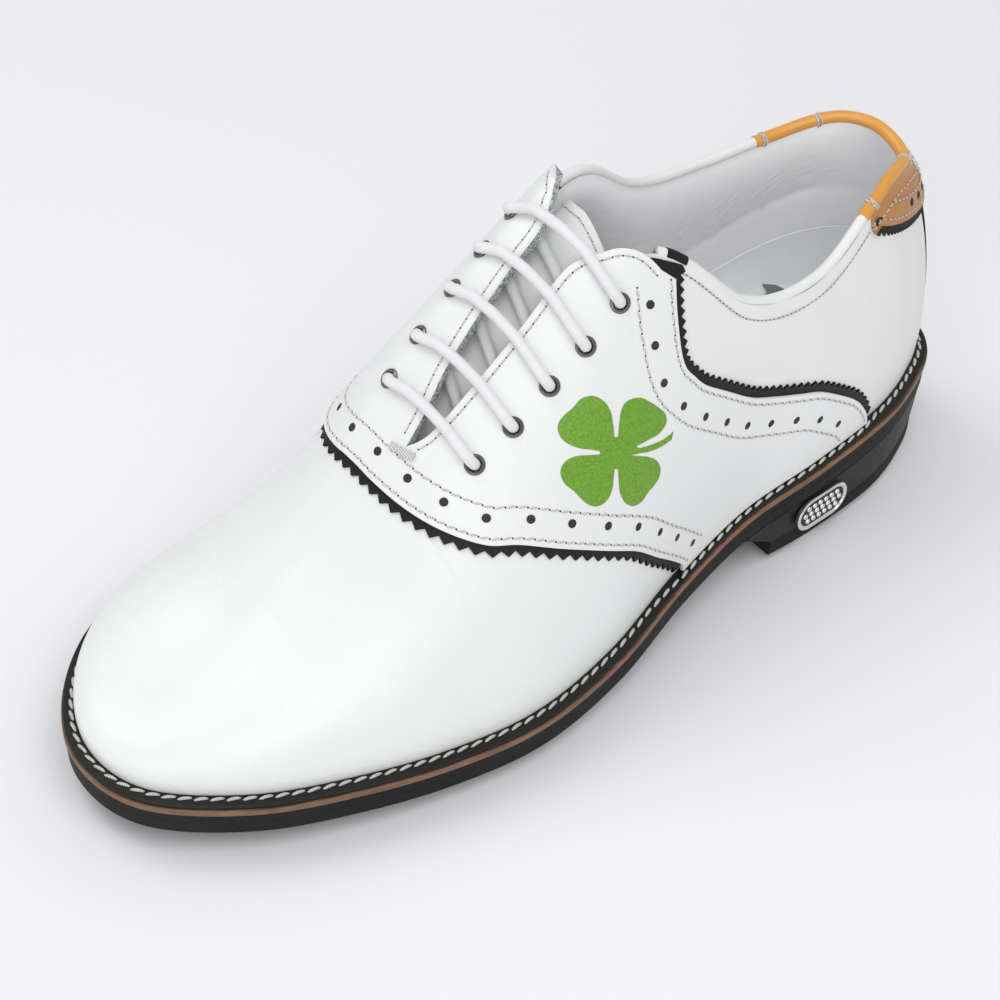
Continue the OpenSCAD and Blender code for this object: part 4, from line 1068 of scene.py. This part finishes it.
# ---------------------------------------------------------------- inside
def build_footbed():
    """The sock liner: a shallow cup that climbs the lining at the heel, with a plain star printed in it."""
    t = np.linspace(.05, 12.9, 150)
    f = np.linspace(0, 1, 61)
    left, right = rim(t, np.full(150, -4.2)), rim(26 - t, np.full(150, -4.2))
    pts = left[:, None] * (1 - f[None, :, None]) + right[:, None] * f[None, :, None]
    edge = np.minimum(f, 1 - f)[None, :] * np.linalg.norm(left - right, axis=1)[:, None]
    edge = np.minimum(edge, np.maximum(pts[..., 0] + 143, 0) * .8 + 1)
    pts[..., 2] += 7.4 + 4.0 * np.exp(-(edge / 7.5) ** 1.5) * np.clip((7.2 - t[:, None]) / 2.5, 0, 1)
    obj = sheet("sock_liner_leather", pts, SOCK, "white_lining")
    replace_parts(obj, "sock_liner", "foam_insole", "insole_board", "cork_filler", "shank")
    ps = np.linspace(-5.6, 5.6, 140)
    rise = .045 + .13 * np.exp(-(np.abs(ps) / 4.2) ** 3)
    panel("sock_liner_cup", ps, 0 * ps + .03, rise, 14, -4.15, SOCK, "white_lining", inward=True,
          swell=lambda p, v: -8 * (1 - np.linspace(0, 1, 15)[None, :]) ** 2.5 + 0 * v)
    tube("sock_liner_rim", resample(skin(ps, rise, -3.95), 1.5), .35, SOCK, "white_lining", sides=8)
    star = []
    for k in range(10):
        a, r = math.pi * k / 5, 3.6 if k % 2 else 9
        x, y = -116 + r * math.cos(a), -25 + r * math.sin(a) * .8
        star.append((x, y, 43 + 4 * math.exp(-((y + 33.5) / 7.5) ** 1.5)))
    make("sock_motif", np.array(star), [tuple(range(10))], MOTIF, "white_lining")


def dress_cad():
    """The looks of the pieces that keep their own meshes; the first name that fits counts."""
    looks = {"cleat_receptacles": BOARD, "cleat_": CLEAT, "eyelets_": GUNMETAL, "heel_nails": STEEL,
             "badge_pins": STEEL, "bar_tack": THREAD, "lace_tips": CLEAT, "heel_top_lift": OUTSOLE}
    for name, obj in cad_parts.items():
        mat = next((m for key, m in looks.items() if name.startswith(key)), BOARD)
        for s in obj.material_slots:
            s.material = mat


# ---------------------------------------------------------------- studio
def build_studio():
    floor = bpy.data.meshes.new("studio_floor")
    floor.from_pydata([(-6, -6, 0), (6, -6, 0), (6, 6, 0), (-6, 6, 0)], [], [(0, 1, 2, 3)])
    mat, bsdf, at = surface("studio_floor", (.80, .80, .81), .9)
    soft = add(mat, "TexNoise", Vector=at, Scale=3, Detail=2)
    tint(mat, bsdf, soft, (.86, .86, .872), (.87, .87, .882))
    floor.materials.append(mat)
    obj = bpy.data.objects.new("studio_floor", floor)
    bpy.context.scene.collection.objects.link(obj)
    world = bpy.data.worlds.new("studio")
    world.use_nodes = True
    world.node_tree.nodes["Background"].inputs[0].default_value = (.97, .98, 1, 1)
    world.node_tree.nodes["Background"].inputs[1].default_value = .57
    bpy.context.scene.world = world
    for name, place, aim, size, power in (("key", (.45, -.85, 1.5), (0, 0, .05), 1.0, 6.5),
                                          ("top", (.15, .75, 1.5), (-.05, 0, .05), 1.3, 9),
                                          ("front", (1.35, .95, .75), (0, 0, .05), 1.3, 6)):
        lamp = bpy.data.lights.new(name, "AREA")
        lamp.shape, lamp.size, lamp.energy = "DISK", size, power
        obj = bpy.data.objects.new(name, lamp)
        z = unit(np.array(place) - np.array(aim))
        x = unit(np.cross([0, 0, 1.0], z))
        y = np.cross(z, x)
        obj.matrix_world = placed(x, y, z, place)
        bpy.context.scene.collection.objects.link(obj)


build_lace()
build_vamp()
build_quarters()
build_saddle()
build_clover()
build_heel_patch()
build_collar()
build_tongue()
build_bottom()
build_badge()
build_footbed()
dress_cad()
build_studio()

bpy.context.view_layer.update()
